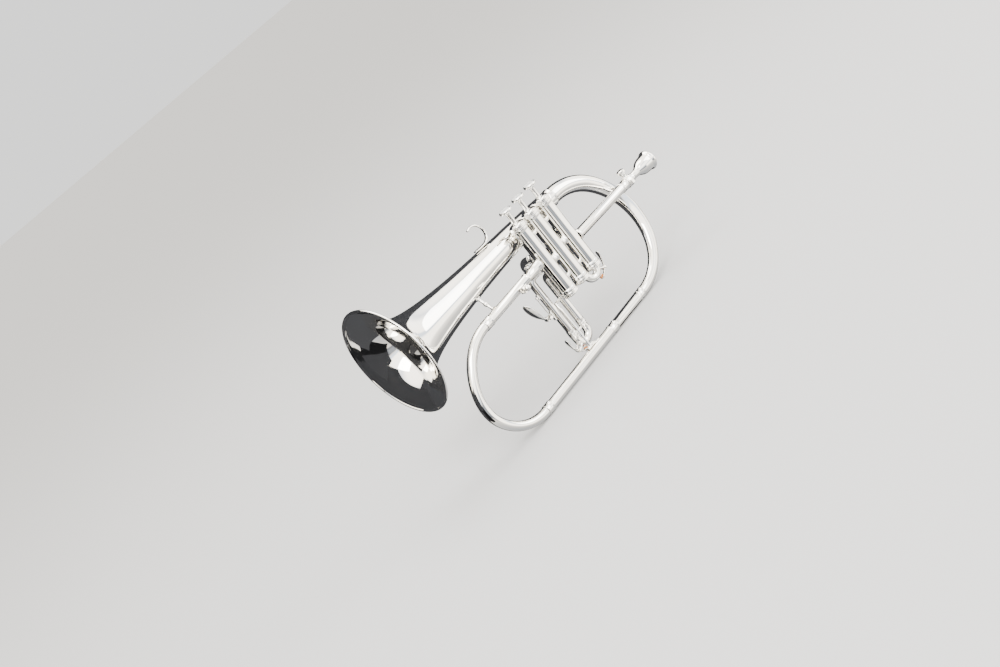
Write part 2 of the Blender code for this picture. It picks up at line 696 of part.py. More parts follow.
def make_trigger_bracket():
    """Two posts on the front leg, the pivot pin and the thin guide rod between them."""
    leg_x = SLIDE3_X[0] - LEG_R - GAP
    pivot = TRIGGER_PIVOT
    bracket = rod("trigger_bracket", pivot - Vector((0, 2.0, 0)),
                  (pivot.x, TRIGGER_ARM_Y + 2.6, pivot.z), 1.2, segments=10)
    foot = block("guide_bracket_foot", (leg_x - 0.8, SLIDE3_Y, pivot.z), (1.4, 4.4, 13.0))
    post = block("guide_bracket_post", ((leg_x - 0.8 + pivot.x) / 2, SLIDE3_Y, pivot.z),
                 (leg_x - 0.8 - pivot.x + 2.0, 3.0, 3.2))
    upper_foot = block("guide_bracket_upper_foot", (leg_x - 0.8, SLIDE3_Y, -29), (1.4, 4.0, 6.0))
    upper = block("guide_bracket_upper", (leg_x - 2.2, SLIDE3_Y, -29), (4.4, 2.2, 2.2))
    guide = rod("guide_bracket_rod", (leg_x - 3.2, SLIDE3_Y, -28),
                (leg_x - 3.2, SLIDE3_Y, pivot.z - 0.5), 0.8, segments=8)
    join(bracket, foot, post, upper_foot, upper, guide)


def make_trigger_lever():
    """Paddle for the finger, hub on the pivot, and a short arm round the front leg."""
    pivot = TRIGGER_PIVOT
    hub_mid = (SLIDE3_Y + 2.4 + TRIGGER_ARM_Y + 1.2) / 2
    half = (TRIGGER_ARM_Y + 1.2 - SLIDE3_Y - 2.4) / 2
    lever = lathe("trigger_lever", tube_profile(-half, half, 2.9, 1.6), (pivot.x, hub_mid, pivot.z),
                  (0, 1, 0), segments=14)
    paddle = strap("guide_paddle",
                   [(pivot.x - 1.6, pivot.z + 1.6, 1.9, 1.1), (pivot.x - 4.6, pivot.z + 5.5, 2.4, 1.0),
                    (pivot.x - 7.6, pivot.z + 11.0, 4.4, 1.1), (pivot.x - 10.4, pivot.z + 18.0, 6.2, 1.3),
                    (pivot.x - 12.8, pivot.z + 25.5, 6.0, 1.3), (pivot.x - 14.4, pivot.z + 31.0, 4.2, 1.1),
                    (pivot.x - 15.2, pivot.z + 33.4, 1.6, 0.7)], SLIDE3_Y + 5.2, pivot,
                   corners=12)
    arm = strap("guide_trigger_arm",
                [(pivot.x + 1.4, pivot.z, 1.1, 1.9), (pivot.x + 11.0, pivot.z - 0.8, 1.1, 1.7),
                 (LINK_X - 0.5, pivot.z - 1.5, 1.1, 1.6), (LINK_X + 1.8, pivot.z - 1.6, 1.1, 1.0)],
                TRIGGER_ARM_Y, pivot, corners=10)
    join(lever, paddle, arm)


def make_trigger_link():
    """Rod that carries the lever's movement to the bar across the movable slide."""
    top = TRIGGER_PIVOT.z + 2.5
    bar_z = SLIDE3_END - 3.0
    link = rod("trigger_link", (LINK_X, LINK_Y, top), (LINK_X, LINK_Y, bar_z - 1.5), 1.2, segments=10)
    eye = rod("guide_link_eye", (LINK_X, LINK_Y - 1.6, top), (LINK_X, LINK_Y + 2.6, top), 2.2, segments=12)
    bar = rod("guide_link_bar", (SLIDE3_X[0] + BOW_R + GAP, SLIDE3_Y, bar_z),
              (SLIDE3_X[1] - BOW_R - GAP, SLIDE3_Y, bar_z), 1.5, segments=10)
    stub = rod("guide_link_stub", (LINK_X, LINK_Y + 0.6, bar_z), (LINK_X, SLIDE3_Y - 0.6, bar_z), 1.3,
               segments=10)
    join(link, eye, bar, stub)


def make_slide3_brace():
    """Bar between the two outer legs with a stay down to the lower tube."""
    bar_z = -51.0
    inner_left = SLIDE3_X[0] + LEG_R + GAP
    inner_right = SLIDE3_X[1] - LEG_R - GAP
    y = SLIDE3_Y - 2.2
    bar = rod("slide3_brace", (inner_left + 0.4, y, bar_z), (inner_right - 0.4, y, bar_z), 1.7)
    top = (inner_left + 1.6, y, bar_z)
    foot = (-50.0, 1.5, LOWER_Z + 8.2)
    stay = sweep("guide_stay", [(top, 1.3, 0), ((-44.6, 9.6, -63.0), 1.3, 0),
                                ((-47.4, 5.2, -88.0), 1.4, 0), (foot, 1.7, 0)], top)
    plate = block("guide_stay_plate", (-50.0, 0.5, LOWER_Z + 7.7), (15.0, 6.5, 1.6))
    join(bar, stay, plate)


# ---------------------------------------------------------------- braces and fittings
def footed_rod(name, start, end, rod_r=1.7, foot_r=4.4, foot=1.2, knop=2.7):
    """Stay with a round foot at each end and a turned knop in the middle."""
    start = Vector(start)
    span = Vector(end) - start
    length = span.length
    half = length / 2
    profile = [(0, 0), (0, foot_r), (foot, foot_r * 0.8), (foot + 1.0, rod_r), (half - 2.2, rod_r),
               (half - 1.2, knop), (half + 1.2, knop), (half + 2.2, rod_r), (length - foot - 1.0, rod_r),
               (length - foot, foot_r * 0.8), (length, foot_r), (length, 0)]
    lathe(name, profile, start, span, segments=12)


def stay_between(name, centre_a, radius_a, centre_b, radius_b, **sizes):
    a = Vector(centre_a)
    b = Vector(centre_b)
    way = (b - a).normalized()
    footed_rod(name, a + way * (radius_a + 0.6), b - way * (radius_b + 0.6), **sizes)


def make_braces():
    stay_between("bell_brace", (-122, 0, EXIT_Z), 5.6, bell_point(-122), bell_radius(-122))
    bow_centre, bow_radius = rear_bow_station(34)
    stay_between("rear_brace", lead(88.0), SLEEVE_R, bow_centre, bow_radius + 2.0, foot_r=2.3,
                 foot=1.0, knop=2.4)
    x = VALVE_X[1]
    axis_z = bell_point(x).z
    start = (x, CASING_R + 0.4, axis_z)
    end = (x, BELL_Y - bell_radius(x) - 0.9, axis_z)
    rod("bell_valve_brace", start, end, 3.6, segments=14)


def make_finger_hook():
    base_z = bell_point(-64).z + bell_radius(-64) + 1.4
    strap("finger_hook",
          [(-77.0, base_z + 1.6, 2.6, 0.8), (-72.0, base_z + 1.0, 3.4, 1.0), (-60.0, base_z + 0.4, 3.2, 1.0),
           (-53.5, base_z + 2.0, 2.8, 1.1), (-49.5, base_z + 6.5, 2.5, 1.2), (-48.2, base_z + 13.0, 2.3, 1.2),
           (-50.0, base_z + 19.5, 2.2, 1.2), (-54.6, base_z + 24.6, 2.2, 1.2),
           (-61.0, base_z + 26.8, 2.2, 1.2), (-67.0, base_z + 25.4, 2.0, 1.1)],
          BELL_Y, (-64, BELL_Y, base_z), corners=10)


def make_lyre_holder():
    """Small socket on the exit tube for a music clip, with its own thumb screw."""
    x = -81.5
    z = EXIT_Z - 2.0
    y = -11.8
    socket = block("lyre_socket", (x, y, z), (8.0, 8.0, 8.0))
    neck = block("guide_lyre_neck", (x, -7.3, z + 1.0), (6.0, 1.6, 4.0))
    hole = block("guide_lyre_hole", (x, y, z), (12.0, 5.0, 5.0))
    bore = rod("guide_lyre_bore", (x, y - 2.0, z), (x, y - 6.0, z), 1.6, segments=10)
    join(socket, neck)
    cut(socket, hole, bore)
    profile = [(0, 0), (0, 1.2), (2.6, 1.2), (3.0, 2.8), (4.6, 3.7), (6.4, 3.7), (8.0, 2.6),
               (8.7, 0)]
    lathe("lyre_screw", profile, (x, y - 2.0, z), (0, -1, 0), segments=12)


def main():
    clear_scene()
    make_bell()
    make_rear_bow()
    make_lower_tube()
    make_front_bow()
    make_exit_tube()
    for number in (1, 2, 3):
        make_casing(number)
        make_top_cap(number)
        make_bottom_cap(number)
        make_piston(number)
        make_felt(number)
        make_button(number)
        make_pearl(number)
        make_spring(number)
    make_knuckle(1, 2, -1.0)
    make_knuckle(2, 3, -6.6)
    make_sleeve()
    make_collar()
    make_clamp_screw()
    make_mouthpipe()
    make_mouthpiece()
    make_slide1()
    make_slide2()
    make_slide3()
    make_water_key(1, WATER1)
    make_water_key(3, WATER3)
    make_trigger_bracket()
    make_trigger_lever()
    make_trigger_link()
    make_slide3_brace()
    make_braces()
    make_finger_hook()
    make_lyre_holder()


main()
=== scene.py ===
"""Looks of a silver-plated flugelhorn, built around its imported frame.

Lengths in the tables are millimetres; MM turns them into metres. Every visible
piece is a finer model of the frame node that it stands for.
"""
import json
import math

import bmesh
import bpy
from mathutils import Matrix, Quaternion, Vector


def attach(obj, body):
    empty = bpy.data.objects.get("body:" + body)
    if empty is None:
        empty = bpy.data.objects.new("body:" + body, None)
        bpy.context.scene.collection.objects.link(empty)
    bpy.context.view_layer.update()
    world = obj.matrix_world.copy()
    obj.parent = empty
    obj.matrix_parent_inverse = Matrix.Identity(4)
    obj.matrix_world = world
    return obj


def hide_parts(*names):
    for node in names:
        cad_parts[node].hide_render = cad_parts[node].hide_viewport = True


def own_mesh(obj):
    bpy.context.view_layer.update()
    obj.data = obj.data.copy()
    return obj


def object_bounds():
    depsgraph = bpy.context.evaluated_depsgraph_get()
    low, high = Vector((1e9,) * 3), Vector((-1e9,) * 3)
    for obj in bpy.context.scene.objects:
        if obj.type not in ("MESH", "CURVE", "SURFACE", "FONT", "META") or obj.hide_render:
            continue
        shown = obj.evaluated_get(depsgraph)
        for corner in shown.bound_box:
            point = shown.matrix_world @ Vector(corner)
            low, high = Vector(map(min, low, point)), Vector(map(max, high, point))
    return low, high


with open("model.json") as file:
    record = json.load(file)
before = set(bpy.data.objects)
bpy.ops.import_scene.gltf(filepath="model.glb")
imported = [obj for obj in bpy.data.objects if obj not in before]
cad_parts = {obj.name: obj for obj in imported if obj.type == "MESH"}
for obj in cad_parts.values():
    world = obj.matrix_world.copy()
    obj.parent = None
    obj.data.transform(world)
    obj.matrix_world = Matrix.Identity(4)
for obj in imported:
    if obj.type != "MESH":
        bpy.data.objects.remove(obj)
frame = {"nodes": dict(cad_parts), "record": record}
CAD_BOX = [list(corner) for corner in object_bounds()]

MM = 0.001
GAP = 0.3                          # between neighbouring pieces
ROUND = 56        # sides of a tube
TURNED = 80       # sides of a turned piece

# Valves
PITCH = 25.4
VALVE_X = {1: PITCH, 2: 0.0, 3: -PITCH}
CASING_R = 10.0
CASING_BORE = 8.55
CASING_TOP = 50.5
CASING_BOTTOM = -47.0
CAP_R = 10.9
CAP_TOP = 59.0
CAP_BOTTOM = -54.6
STEM_R = 2.7
STEM_FOOT = 46.3
BUTTON_R = 8.6
BUTTON_UNDER = 75.4
BUTTON_TOP = 79.0
PEARL_R = 6.9
SPRING_R = 5.8
SPRING_LOW = CAP_BOTTOM + 3.8
SPRING_LENGTH = 29.0

# Bell and bows
BELL_Y = 27.5
BELL_RIM = Vector((-253.0, BELL_Y, 46.8))
BELL_TAIL = Vector((60.0, BELL_Y, 39.0))
BELL_LENGTH = BELL_TAIL.x - BELL_RIM.x
RIM_R = 74.5
BELL_WALL = 0.7
REAR_CENTRE = (60.0, -41.8)
REAR_RADIUS = 80.8
LOWER_Z = REAR_CENTRE[1] - REAR_RADIUS
EXIT_Z = 2.4
FRONT_RADIUS = (EXIT_Z - LOWER_Z) / 2
FRONT_CENTRE = (-148.5, (EXIT_Z + LOWER_Z) / 2)
FRONT_LEAN = 8.5

# Leadpipe line
LEAD_START = Vector((CASING_R + PITCH + 2 * GAP, 0.0, -10.4))
LEAD_DIR = Vector((1.0, 0.0, -0.034)).normalized()
SLEEVE_R = 6.2
SLEEVE_END = 108.0
COLLAR = (108.3, 117.0)
PIPE_END = 122.5
MOUTHPIECE_START = 96.0
MOUTHPIECE_END = 161.94

# Slides
LEG_R = 5.0
LEG_BORE = 4.6
INNER_R = 4.25
INNER_BORE = 3.7
BOW_R = 5.1
CROOK = 8.0
DOWN = Vector((0, 0, -1))
SLIDE1_Y, SLIDE1_X, SLIDE1_END = 17.0, (20.5, 40.5), -50.0
SLIDE3_Y, SLIDE3_X, SLIDE3_END = 16.5, (-49.3, -28.3), -93.0
SLIDE2_DIR = Vector((-0.2, 0.98, 0.0)).normalized()
SLIDE2_Z = (0.0, -16.0)
SLIDE2_END = 46.0

# Water keys: pivot and cork seat in the slide's own plane
WATER_KEYS = {1: {"y": SLIDE1_Y, "bow": (30.5, SLIDE1_END - 0.6 - CROOK), "radius": 10.0, "side": 1,
                  "pivot_deg": -30.0, "cork_deg": -63.0},
              3: {"y": SLIDE3_Y, "bow": (-38.8, SLIDE3_END - 0.6 - CROOK), "radius": 10.5, "side": -1,
                  "pivot_deg": -148.0, "cork_deg": -115.0}}
PIVOT_OUT = 6.0
SEAT_OUT = 1.6
CORK_LENGTH = 2.2

TRIGGER_PIVOT = Vector((-60.3, SLIDE3_Y, -58.5))
TRIGGER_ARM_Y = SLIDE3_Y + 8.0
LINK_X = -38.8
LINK_Y = SLIDE3_Y + 3.6
PADDLE_Y = SLIDE3_Y + 6.1
PADDLE_TWIST = 24.0

SILVER = "silver_plate"
BODY_OF = {node: body for body, nodes in frame["record"]["behaviour"]["bodies"].items() for node in nodes}
SLOT_OF = {row["node"]: row["material_slot"] for row in frame["record"]["subparts"]}


# ---------------------------------------------------------------- materials
def new_material(name):
    made = bpy.data.materials.new(name)
    made.use_nodes = True
    tree = made.node_tree
    return made, tree, tree.nodes["Principled BSDF"]


def noise(tree, scale, detail=4.0, stretch=(1, 1, 1)):
    """Noise in the object's own space, which doesn't slide with the camera."""
    place = tree.nodes.new("ShaderNodeTexCoord")
    mapping = tree.nodes.new("ShaderNodeMapping")
    mapping.inputs["Scale"].default_value = stretch
    texture = tree.nodes.new("ShaderNodeTexNoise")
    texture.inputs["Scale"].default_value = scale
    texture.inputs["Detail"].default_value = detail
    tree.links.new(place.outputs["Object"], mapping.inputs["Vector"])
    tree.links.new(mapping.outputs["Vector"], texture.inputs["Vector"])
    return texture.outputs["Fac"]


def ramp(tree, source, stops):
    """Colour ramp through (position, colour) stops; a plain number gives a grey."""
    node = tree.nodes.new("ShaderNodeValToRGB")
    while len(node.color_ramp.elements) < len(stops):
        node.color_ramp.elements.new(0.5)
    for element, (position, value) in zip(node.color_ramp.elements, stops):
        element.position = position
        element.color = (*value, 1) if isinstance(value, tuple) else (value, value, value, 1)
    tree.links.new(source, node.inputs["Fac"])
    return node.outputs["Color"]


def bump(tree, shader, height, strength, distance):
    node = tree.nodes.new("ShaderNodeBump")
    node.inputs["Strength"].default_value = strength
    node.inputs["Distance"].default_value = distance
    tree.links.new(height, node.inputs["Height"])
    tree.links.new(node.outputs["Normal"], shader.inputs["Normal"])


def silver_material(name, light, warm, roughness, wear):
    """Polished plate: faint tarnish clouds, polishing haze and handling marks."""
    made, tree, shader = new_material(name)
    shader.inputs["Metallic"].default_value = 1.0
    clouds = noise(tree, 38.0, 5.0)
    tree.links.new(ramp(tree, clouds, [(0.30, warm), (0.62, light)]), shader.inputs["Base Color"])
    haze = noise(tree, 130.0, 6.0, (1, 1, 0.35))
    tree.links.new(ramp(tree, haze, [(0.35, roughness), (0.72, roughness + wear)]),
                   shader.inputs["Roughness"])
    bump(tree, shader, noise(tree, 420.0, 3.0, (1, 1, 0.4)), 0.02, 0.0002)
    return made


def pearl_material():
    made, tree, shader = new_material("mother_of_pearl")
    shader.inputs["Roughness"].default_value = 0.16
    shader.inputs["Coat Weight"].default_value = 0.6
    shader.inputs["Coat Roughness"].default_value = 0.05
    sheets = noise(tree, 260.0, 5.0, (1.0, 2.6, 1.0))
    colours = [(0.30, (0.66, 0.70, 0.68)), (0.48, (0.90, 0.88, 0.84)), (0.60, (0.80, 0.84, 0.86)),
               (0.74, (0.92, 0.86, 0.82))]
    tree.links.new(ramp(tree, sheets, colours), shader.inputs["Base Color"])
    bump(tree, shader, sheets, 0.05, 0.0002)
    return made


def cork_material():
    made, tree, shader = new_material("cork")
    shader.inputs["Roughness"].default_value = 0.82
    grain = noise(tree, 1400.0, 6.0)
    colours = [(0.32, (0.20, 0.05, 0.01)), (0.46, (0.62, 0.20, 0.035)), (0.70, (0.78, 0.30, 0.07))]
    tree.links.new(ramp(tree, grain, colours), shader.inputs["Base Color"])
    bump(tree, shader, grain, 0.6, 0.0003)
    return made


def felt_material():
    made, tree, shader = new_material("felt")
    shader.inputs["Roughness"].default_value = 0.95
    shader.inputs["Sheen Weight"].default_value = 0.5
    fibres = noise(tree, 2600.0, 8.0)
    tree.links.new(ramp(tree, fibres, [(0.3, (0.10, 0.02, 0.02)), (0.7, (0.30, 0.07, 0.06))]),
                   shader.inputs["Base Color"])
    bump(tree, shader, fibres, 0.8, 0.0004)
    return made


def drawn_metal(name, dark, light, roughness):
    """Wire or honed metal with fine lengthwise marks."""
    made, tree, shader = new_material(name)
    shader.inputs["Metallic"].default_value = 1.0
    marks = noise(tree, 900.0, 4.0, (1, 1, 0.08))
    tree.links.new(ramp(tree, marks, [(0.35, dark), (0.65, light)]), shader.inputs["Base Color"])
    tree.links.new(ramp(tree, marks, [(0.3, roughness), (0.7, roughness + 0.12)]),
                   shader.inputs["Roughness"])
    bump(tree, shader, marks, 0.15, 0.0002)
    return made


def make_materials():
    return {SILVER: silver_material(SILVER, (0.965, 0.945, 0.90), (0.925, 0.895, 0.835), 0.035, 0.05),
            "inner_tube_silver": silver_material("inner_tube_silver", (0.93, 0.92, 0.90),
                                                 (0.86, 0.84, 0.80), 0.09, 0.10),
            "mother_of_pearl": pearl_material(),
            "cork": cork_material(),
            "felt": felt_material(),
            "spring_steel": drawn_metal("spring_steel", (0.30, 0.30, 0.31), (0.52, 0.52, 0.53), 0.28),
            "piston_metal": drawn_metal("piston_metal", (0.56, 0.55, 0.52), (0.72, 0.71, 0.68), 0.16)}


# ---------------------------------------------------------------- shells: (points, faces)
def stitch(rings, closed):
    """Faces between neighbouring rings of indices; a ring of one index is a pole."""
    faces = []
    pairs = list(zip(rings, rings[1:]))
    if closed:
        pairs.append((rings[-1], rings[0]))
    for ring_a, ring_b in pairs:
        count = max(len(ring_a), len(ring_b))
        for i in range(count):
            j = (i + 1) % count
            corners = [ring_a[i % len(ring_a)], ring_a[j % len(ring_a)],
                       ring_b[j % len(ring_b)], ring_b[i % len(ring_b)]]
            faces.append(tuple(dict.fromkeys(corners)))
    return faces


def turned(profile, origin, axis, sides=TURNED, teeth=0):
    """Surface of revolution of (station, radius) or (station, radius, tooth depth) points."""
    turn = Vector(axis).to_track_quat("Z", "Y").to_matrix()
    points = []
    rings = []
    for row in profile:
        station, radius = row[0], row[1]
        depth = row[2] if len(row) > 2 else 0.0
        if radius == 0:
            rings.append([len(points)])
            points.append(Vector(origin) + turn @ Vector((0, 0, station)))
            continue
        ring = []
        for i in range(sides):
            angle = math.tau * i / sides
            cut = depth * (0.5 + 0.5 * math.cos(teeth * angle)) if depth else 0.0
            reach = radius - cut
            ring.append(len(points))
            points.append(Vector(origin) + turn @ Vector((reach * math.cos(angle),
                                                          reach * math.sin(angle), station)))
        rings.append(ring)
    closed = bool(profile[0][1] and profile[-1][1])
    return points, stitch(rings, closed)


def tangents_of(points, ends):
    tangents = []
    for i in range(len(points)):
        tangents.append((points[min(i + 1, len(points) - 1)] - points[max(i - 1, 0)]).normalized())
    if ends:
        tangents[0] = Vector(ends[0]).normalized()
        tangents[-1] = Vector(ends[1]).normalized()
    return tangents


def swept(stations, sides=ROUND, ends=None):
    """Round tube along (point, radius, bore) stations; bore 0 everywhere makes a rod."""
    path = [Vector(station[0]) for station in stations]
    tangents = tangents_of(path, ends)
    side = tangents[0].orthogonal().normalized()
    frames = []
    for tangent in tangents:
        side = (side - tangent * side.dot(tangent)).normalized()
        frames.append((side.copy(), tangent.cross(side)))
    points = []

    def ring(index, radius):
        indices = []
        for i in range(sides):
            angle = math.tau * i / sides
            spoke = frames[index][0] * math.cos(angle) + frames[index][1] * math.sin(angle)
            indices.append(len(points))
            points.append(path[index] + spoke * radius)
        return indices

    outer = [ring(i, station[1]) for i, station in enumerate(stations)]
    if not stations[0][2]:
        return points, stitch(outer, False) + [tuple(outer[0]), tuple(outer[-1])]
    inner = [ring(i, station[2]) for i, station in enumerate(stations)]
    return points, stitch(outer + inner[::-1], True)


def strip(stations, y, corners=20, boxy=0.55, twist=0.0):
    """Bent flat bar of (x, z, half width, half thickness) stations with rounded edges.

    Its width lies along Y, turned about its own length by twist degrees."""
    path = smooth([Vector((s[0], y, s[1])) for s in stations], 4)
    sizes = smooth([Vector((s[2], s[3], 0)) for s in stations], 4)
    tangents = tangents_of(path, None)
    points = []
    rings = []
    for point, size, tangent in zip(path, sizes, tangents):
        across = Quaternion(tangent, math.radians(twist)) @ Vector((0, 1, 0))
        normal = tangent.cross(across).normalized()
        ring = []
        for i in range(corners):
            angle = math.tau * (i + 0.5) / corners
            c, s = math.cos(angle), math.sin(angle)
            wide = math.copysign(abs(c) ** boxy, c) * size.x
            thick = math.copysign(abs(s) ** boxy, s) * size.y
            ring.append(len(points))
            points.append(point + across * wide + normal * thick)
        rings.append(ring)
    return points, stitch(rings, False) + [tuple(rings[0]), tuple(rings[-1])]


def bar(start, end, radius, sides=24, soft=0.3):
    """Round rod with softened ends."""
    span = Vector(end) - Vector(start)
    length = span.length
    profile = [(0, 0), (0, radius - soft), (soft, radius), (length - soft, radius),
               (length, radius - soft), (length, 0)]
    return turned(profile, start, span, sides)


def brick(centre, size):
    points = []
    for sx in (-0.5, 0.5):
        for sy in (-0.5, 0.5):
            for sz in (-0.5, 0.5):
                points.append(Vector(centre) + Vector((sx * size[0], sy * size[1], sz * size[2])))
    faces = [(0, 1, 3, 2), (4, 6, 7, 5), (0, 4, 5, 1), (2, 3, 7, 6), (0, 2, 6, 4), (1, 5, 7, 3)]
    return points, faces


def smooth(points, steps):
    """Points on a curve through the given ones."""
    ends = [points[0] * 2 - points[1]] + list(points) + [points[-1] * 2 - points[-2]]
    made = []
    for a, b, c, d in zip(ends, ends[1:], ends[2:], ends[3:]):
        for i in range(steps):
            t = i / steps
            made.append(0.5 * (b * 2 + (c - a) * t + (a * 2 - b * 5 + c * 4 - d) * t * t
                               + (b * 3 - a - c * 3 + d) * t ** 3))
    return made + [points[-1]]


def smooth_profile(rows, steps):
    return [(p.x, max(p.y, 0.0)) for p in smooth([Vector((*row, 0)) for row in rows], steps)]


def piece(name, shells, slot=SILVER, nodes=None, edge=0.12, sharp=38):
    """Object of one or more shells that stands for its frame nodes and rides with them."""
    points = []
    faces = []
    for shell_points, shell_faces in shells:
        shift = len(points)
        points += [p * MM for p in shell_points]
        faces += [tuple(i + shift for i in face) for face in shell_faces]
    mesh = bpy.data.meshes.new(name)
    mesh.from_pydata(points, [], faces)
    mesh.validate()
    made = bpy.data.objects.new(name, mesh)
    bpy.context.scene.collection.objects.link(made)
    mesh.materials.append(MATERIALS[slot])
    tidy_normals(mesh)
    mesh.shade_smooth()
    mesh.set_sharp_from_angle(angle=math.radians(sharp))
    if edge:
        bevel = made.modifiers.new("edge", "BEVEL")
        bevel.width = edge * MM
        bevel.segments = 2
        bevel.limit_method = "ANGLE"
        bevel.angle_limit = math.radians(sharp)
    stands_for = nodes or [name.removeprefix("fine_")]
    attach(made, BODY_OF[stands_for[0]])
    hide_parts(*stands_for)
    return made


def tidy_normals(mesh):
    builder = bmesh.new()
    builder.from_mesh(mesh)
    bmesh.ops.recalc_face_normals(builder, faces=builder.faces)
    builder.to_mesh(mesh)
    builder.free()


def smoothstep(t):
    t = min(max(t, 0.0), 1.0)
    return t * t * (3 - 2 * t)


def ferrule(start, length, tube_r, rise=0.7):
    """Outer profile of a ferrule on a tube, with a small bead at each end."""
    high = tube_r + rise
    return [(start, tube_r), (start + 0.1, high - 0.25), (start + 0.5, high + 0.15),
            (start + 1.1, high + 0.15), (start + 1.5, high - 0.1), (start + length - 1.5, high - 0.1),
            (start + length - 1.1, high + 0.15), (start + length - 0.5, high + 0.15),
            (start + length - 0.1, high - 0.25), (start + length, tube_r)]


MATERIALS = make_materials()


# ---------------------------------------------------------------- main tubing
def bell_axis():
    return (BELL_TAIL - BELL_RIM).normalized()


# distance behind the rim plane, outer radius
FLARE = [(3.0, 67.8), (8.0, 58.6), (15.0, 49.6), (26.0, 41.2), (42.0, 34.6), (66.0, 29.2), (98.0, 24.8),
         (140.0, 20.9), (190.0, 17.9), (233.0, 16.1), (273.0, 13.8), (BELL_LENGTH, 11.2)]


def bell_point(x):
    return BELL_RIM + (BELL_TAIL - BELL_RIM) * ((x - BELL_RIM.x) / BELL_LENGTH)


def bell_radius(x):
    distance = x - BELL_RIM.x
    for (d0, r0), (d1, r1) in zip(FLARE, FLARE[1:]):
        if d0 <= distance <= d1:
            return r0 + (r1 - r0) * (distance - d0) / (d1 - d0)
    return FLARE[-1][1]


def make_bell():
    """Flare, the wired bead at its rim and the tail ferrule."""
    steps = 10
    flare = smooth_profile([(1.6, 71.2)] + FLARE, steps)
    bead_r = 1.35
    bead = [(bead_r - bead_r * math.cos(math.radians(a)),
             RIM_R - bead_r + bead_r * math.sin(math.radians(a))) for a in range(200, -71, -18)][::-1]
    inside = [(station - 0.25, radius - BELL_WALL) for station, radius in flare]
    inside[-1] = (flare[-1][0], flare[-1][1] - BELL_WALL)
    shell = turned(flare[::-1] + bead + inside, BELL_RIM, bell_axis(), 168)
    sleeve = ferrule(BELL_LENGTH - 17, 16.6, 11.5, 0.5)
    ring = turned([(sleeve[0][0], 11.0)] + sleeve + [(sleeve[-1][0], 11.0)], BELL_RIM, bell_axis())
    piece("fine_bell", [shell, ring], edge=0, sharp=50)


def rear_bow_station(angle):
    x = REAR_CENTRE[0] + REAR_RADIUS * math.cos(math.radians(angle))
    z = REAR_CENTRE[1] + REAR_RADIUS * math.sin(math.radians(angle))
    y = BELL_Y * smoothstep((angle + 75) / 125)
    return Vector((x, y, z)), 6.6 + 4.5 * smoothstep((angle + 70) / 150)


def make_rear_bow():
    steps = 72
    stations = []
    for step in range(steps + 1):
        centre, radius = rear_bow_station(-90 + 180 * step / steps)
        stations.append([centre, radius - 0.05, radius - 0.8])
    stations[0][0].x += GAP
    stations[-1][0].x += 2 * GAP
    piece("fine_rear_bow", [swept(stations, ends=((1, 0, 0), (-1, 0, 0)))], edge=0)


def make_lower_tube():
    front = FRONT_CENTRE[0] - FRONT_LEAN
    length = REAR_CENTRE[0] - front
    ring = length - 75.0
    outside = ferrule(0, 11, 6.05, 0.7) + [(ring - 0.2, 6.3)] + ferrule(ring, 12.5, 6.35, 0.4)
    outside += [(length - 9, 6.55)] + ferrule(length - 9, 9, 6.4, 0.35)[1:]
    inside = [(length, 5.8), (0, 5.3)]
    piece("fine_lower_tube", [turned(outside + inside, (front, 0, LOWER_Z), (1, 0, 0))], edge=0, sharp=60)


def make_front_bow():
    stations = []
    steps = 56
    for step in range(steps + 1):
        angle = math.radians(90 + 180 * step / steps)
        x = FRONT_CENTRE[0] + FRONT_RADIUS * math.cos(angle)
        z = FRONT_CENTRE[1] + FRONT_RADIUS * math.sin(angle)
        lean = FRONT_LEAN * smoothstep((EXIT_Z - z) / 90)
        stations.append((Vector((x - GAP - lean, 0.0, z)), 6.05, 5.3))
    piece("fine_front_bow", [swept(stations, ends=((-1, 0, 0), (1, 0, 0)))], edge=0)


def make_exit_tube():
    start = -PITCH - CASING_R - GAP
    length = start - FRONT_CENTRE[0]
    outside = [(0, 6.9), (0.6, 7.1), (2.2, 7.1), (2.8, 6.6), (25.4, 6.55), (25.8, 6.9), (27.2, 6.9),
               (27.6, 6.4), (28.2, 5.9), (length - 12, 6.0)] + ferrule(length - 12, 12, 6.0, 0.6)
    inside = [(length, 5.3), (0, 5.0)]
    piece("fine_exit_tube", [turned(outside + inside, (start, 0, EXIT_Z), (-1, 0, 0))], edge=0, sharp=60)


# ---------------------------------------------------------------- valves
def make_casing(number):
    """Casing with turned bands; the middle one has the bars that tie it to its neighbours."""
    x = VALVE_X[number]
    low, high = CASING_BOTTOM, CASING_TOP
    r = CASING_R
    outside = [(low, r - 0.1), (low + 0.4, r + 0.35), (low + 3.4, r + 0.35), (low + 3.9, r + 0.1),
               (low + 4.3, r - 0.25), (low + 4.9, r - 0.2), (high - 4.9, r - 0.2), (high - 4.3, r - 0.25),
               (high - 3.9, r + 0.1), (high - 3.4, r + 0.35), (high - 0.4, r + 0.35), (high, r - 0.1)]
    shells = [turned(outside + [(high, CASING_BORE), (low, CASING_BORE)], (x, 0, 0), (0, 0, 1))]
    if number == 2:
        for z in (33.0, -33.5):
            for side in (-1, 1):
                middle = side * PITCH / 2
                shells.append(turned([(-3.2, 2.2), (-2.6, 2.5), (2.6, 2.5), (3.2, 2.2), (3.2, 0.4),
                                      (-3.2, 0.4)], (middle, 0, z), (1, 0, 0), 32))
                shells.append(brick((middle, 0, z), (5.2, 4.6, 3.4)))
    piece(f"fine_valve_casing_{number}", shells)


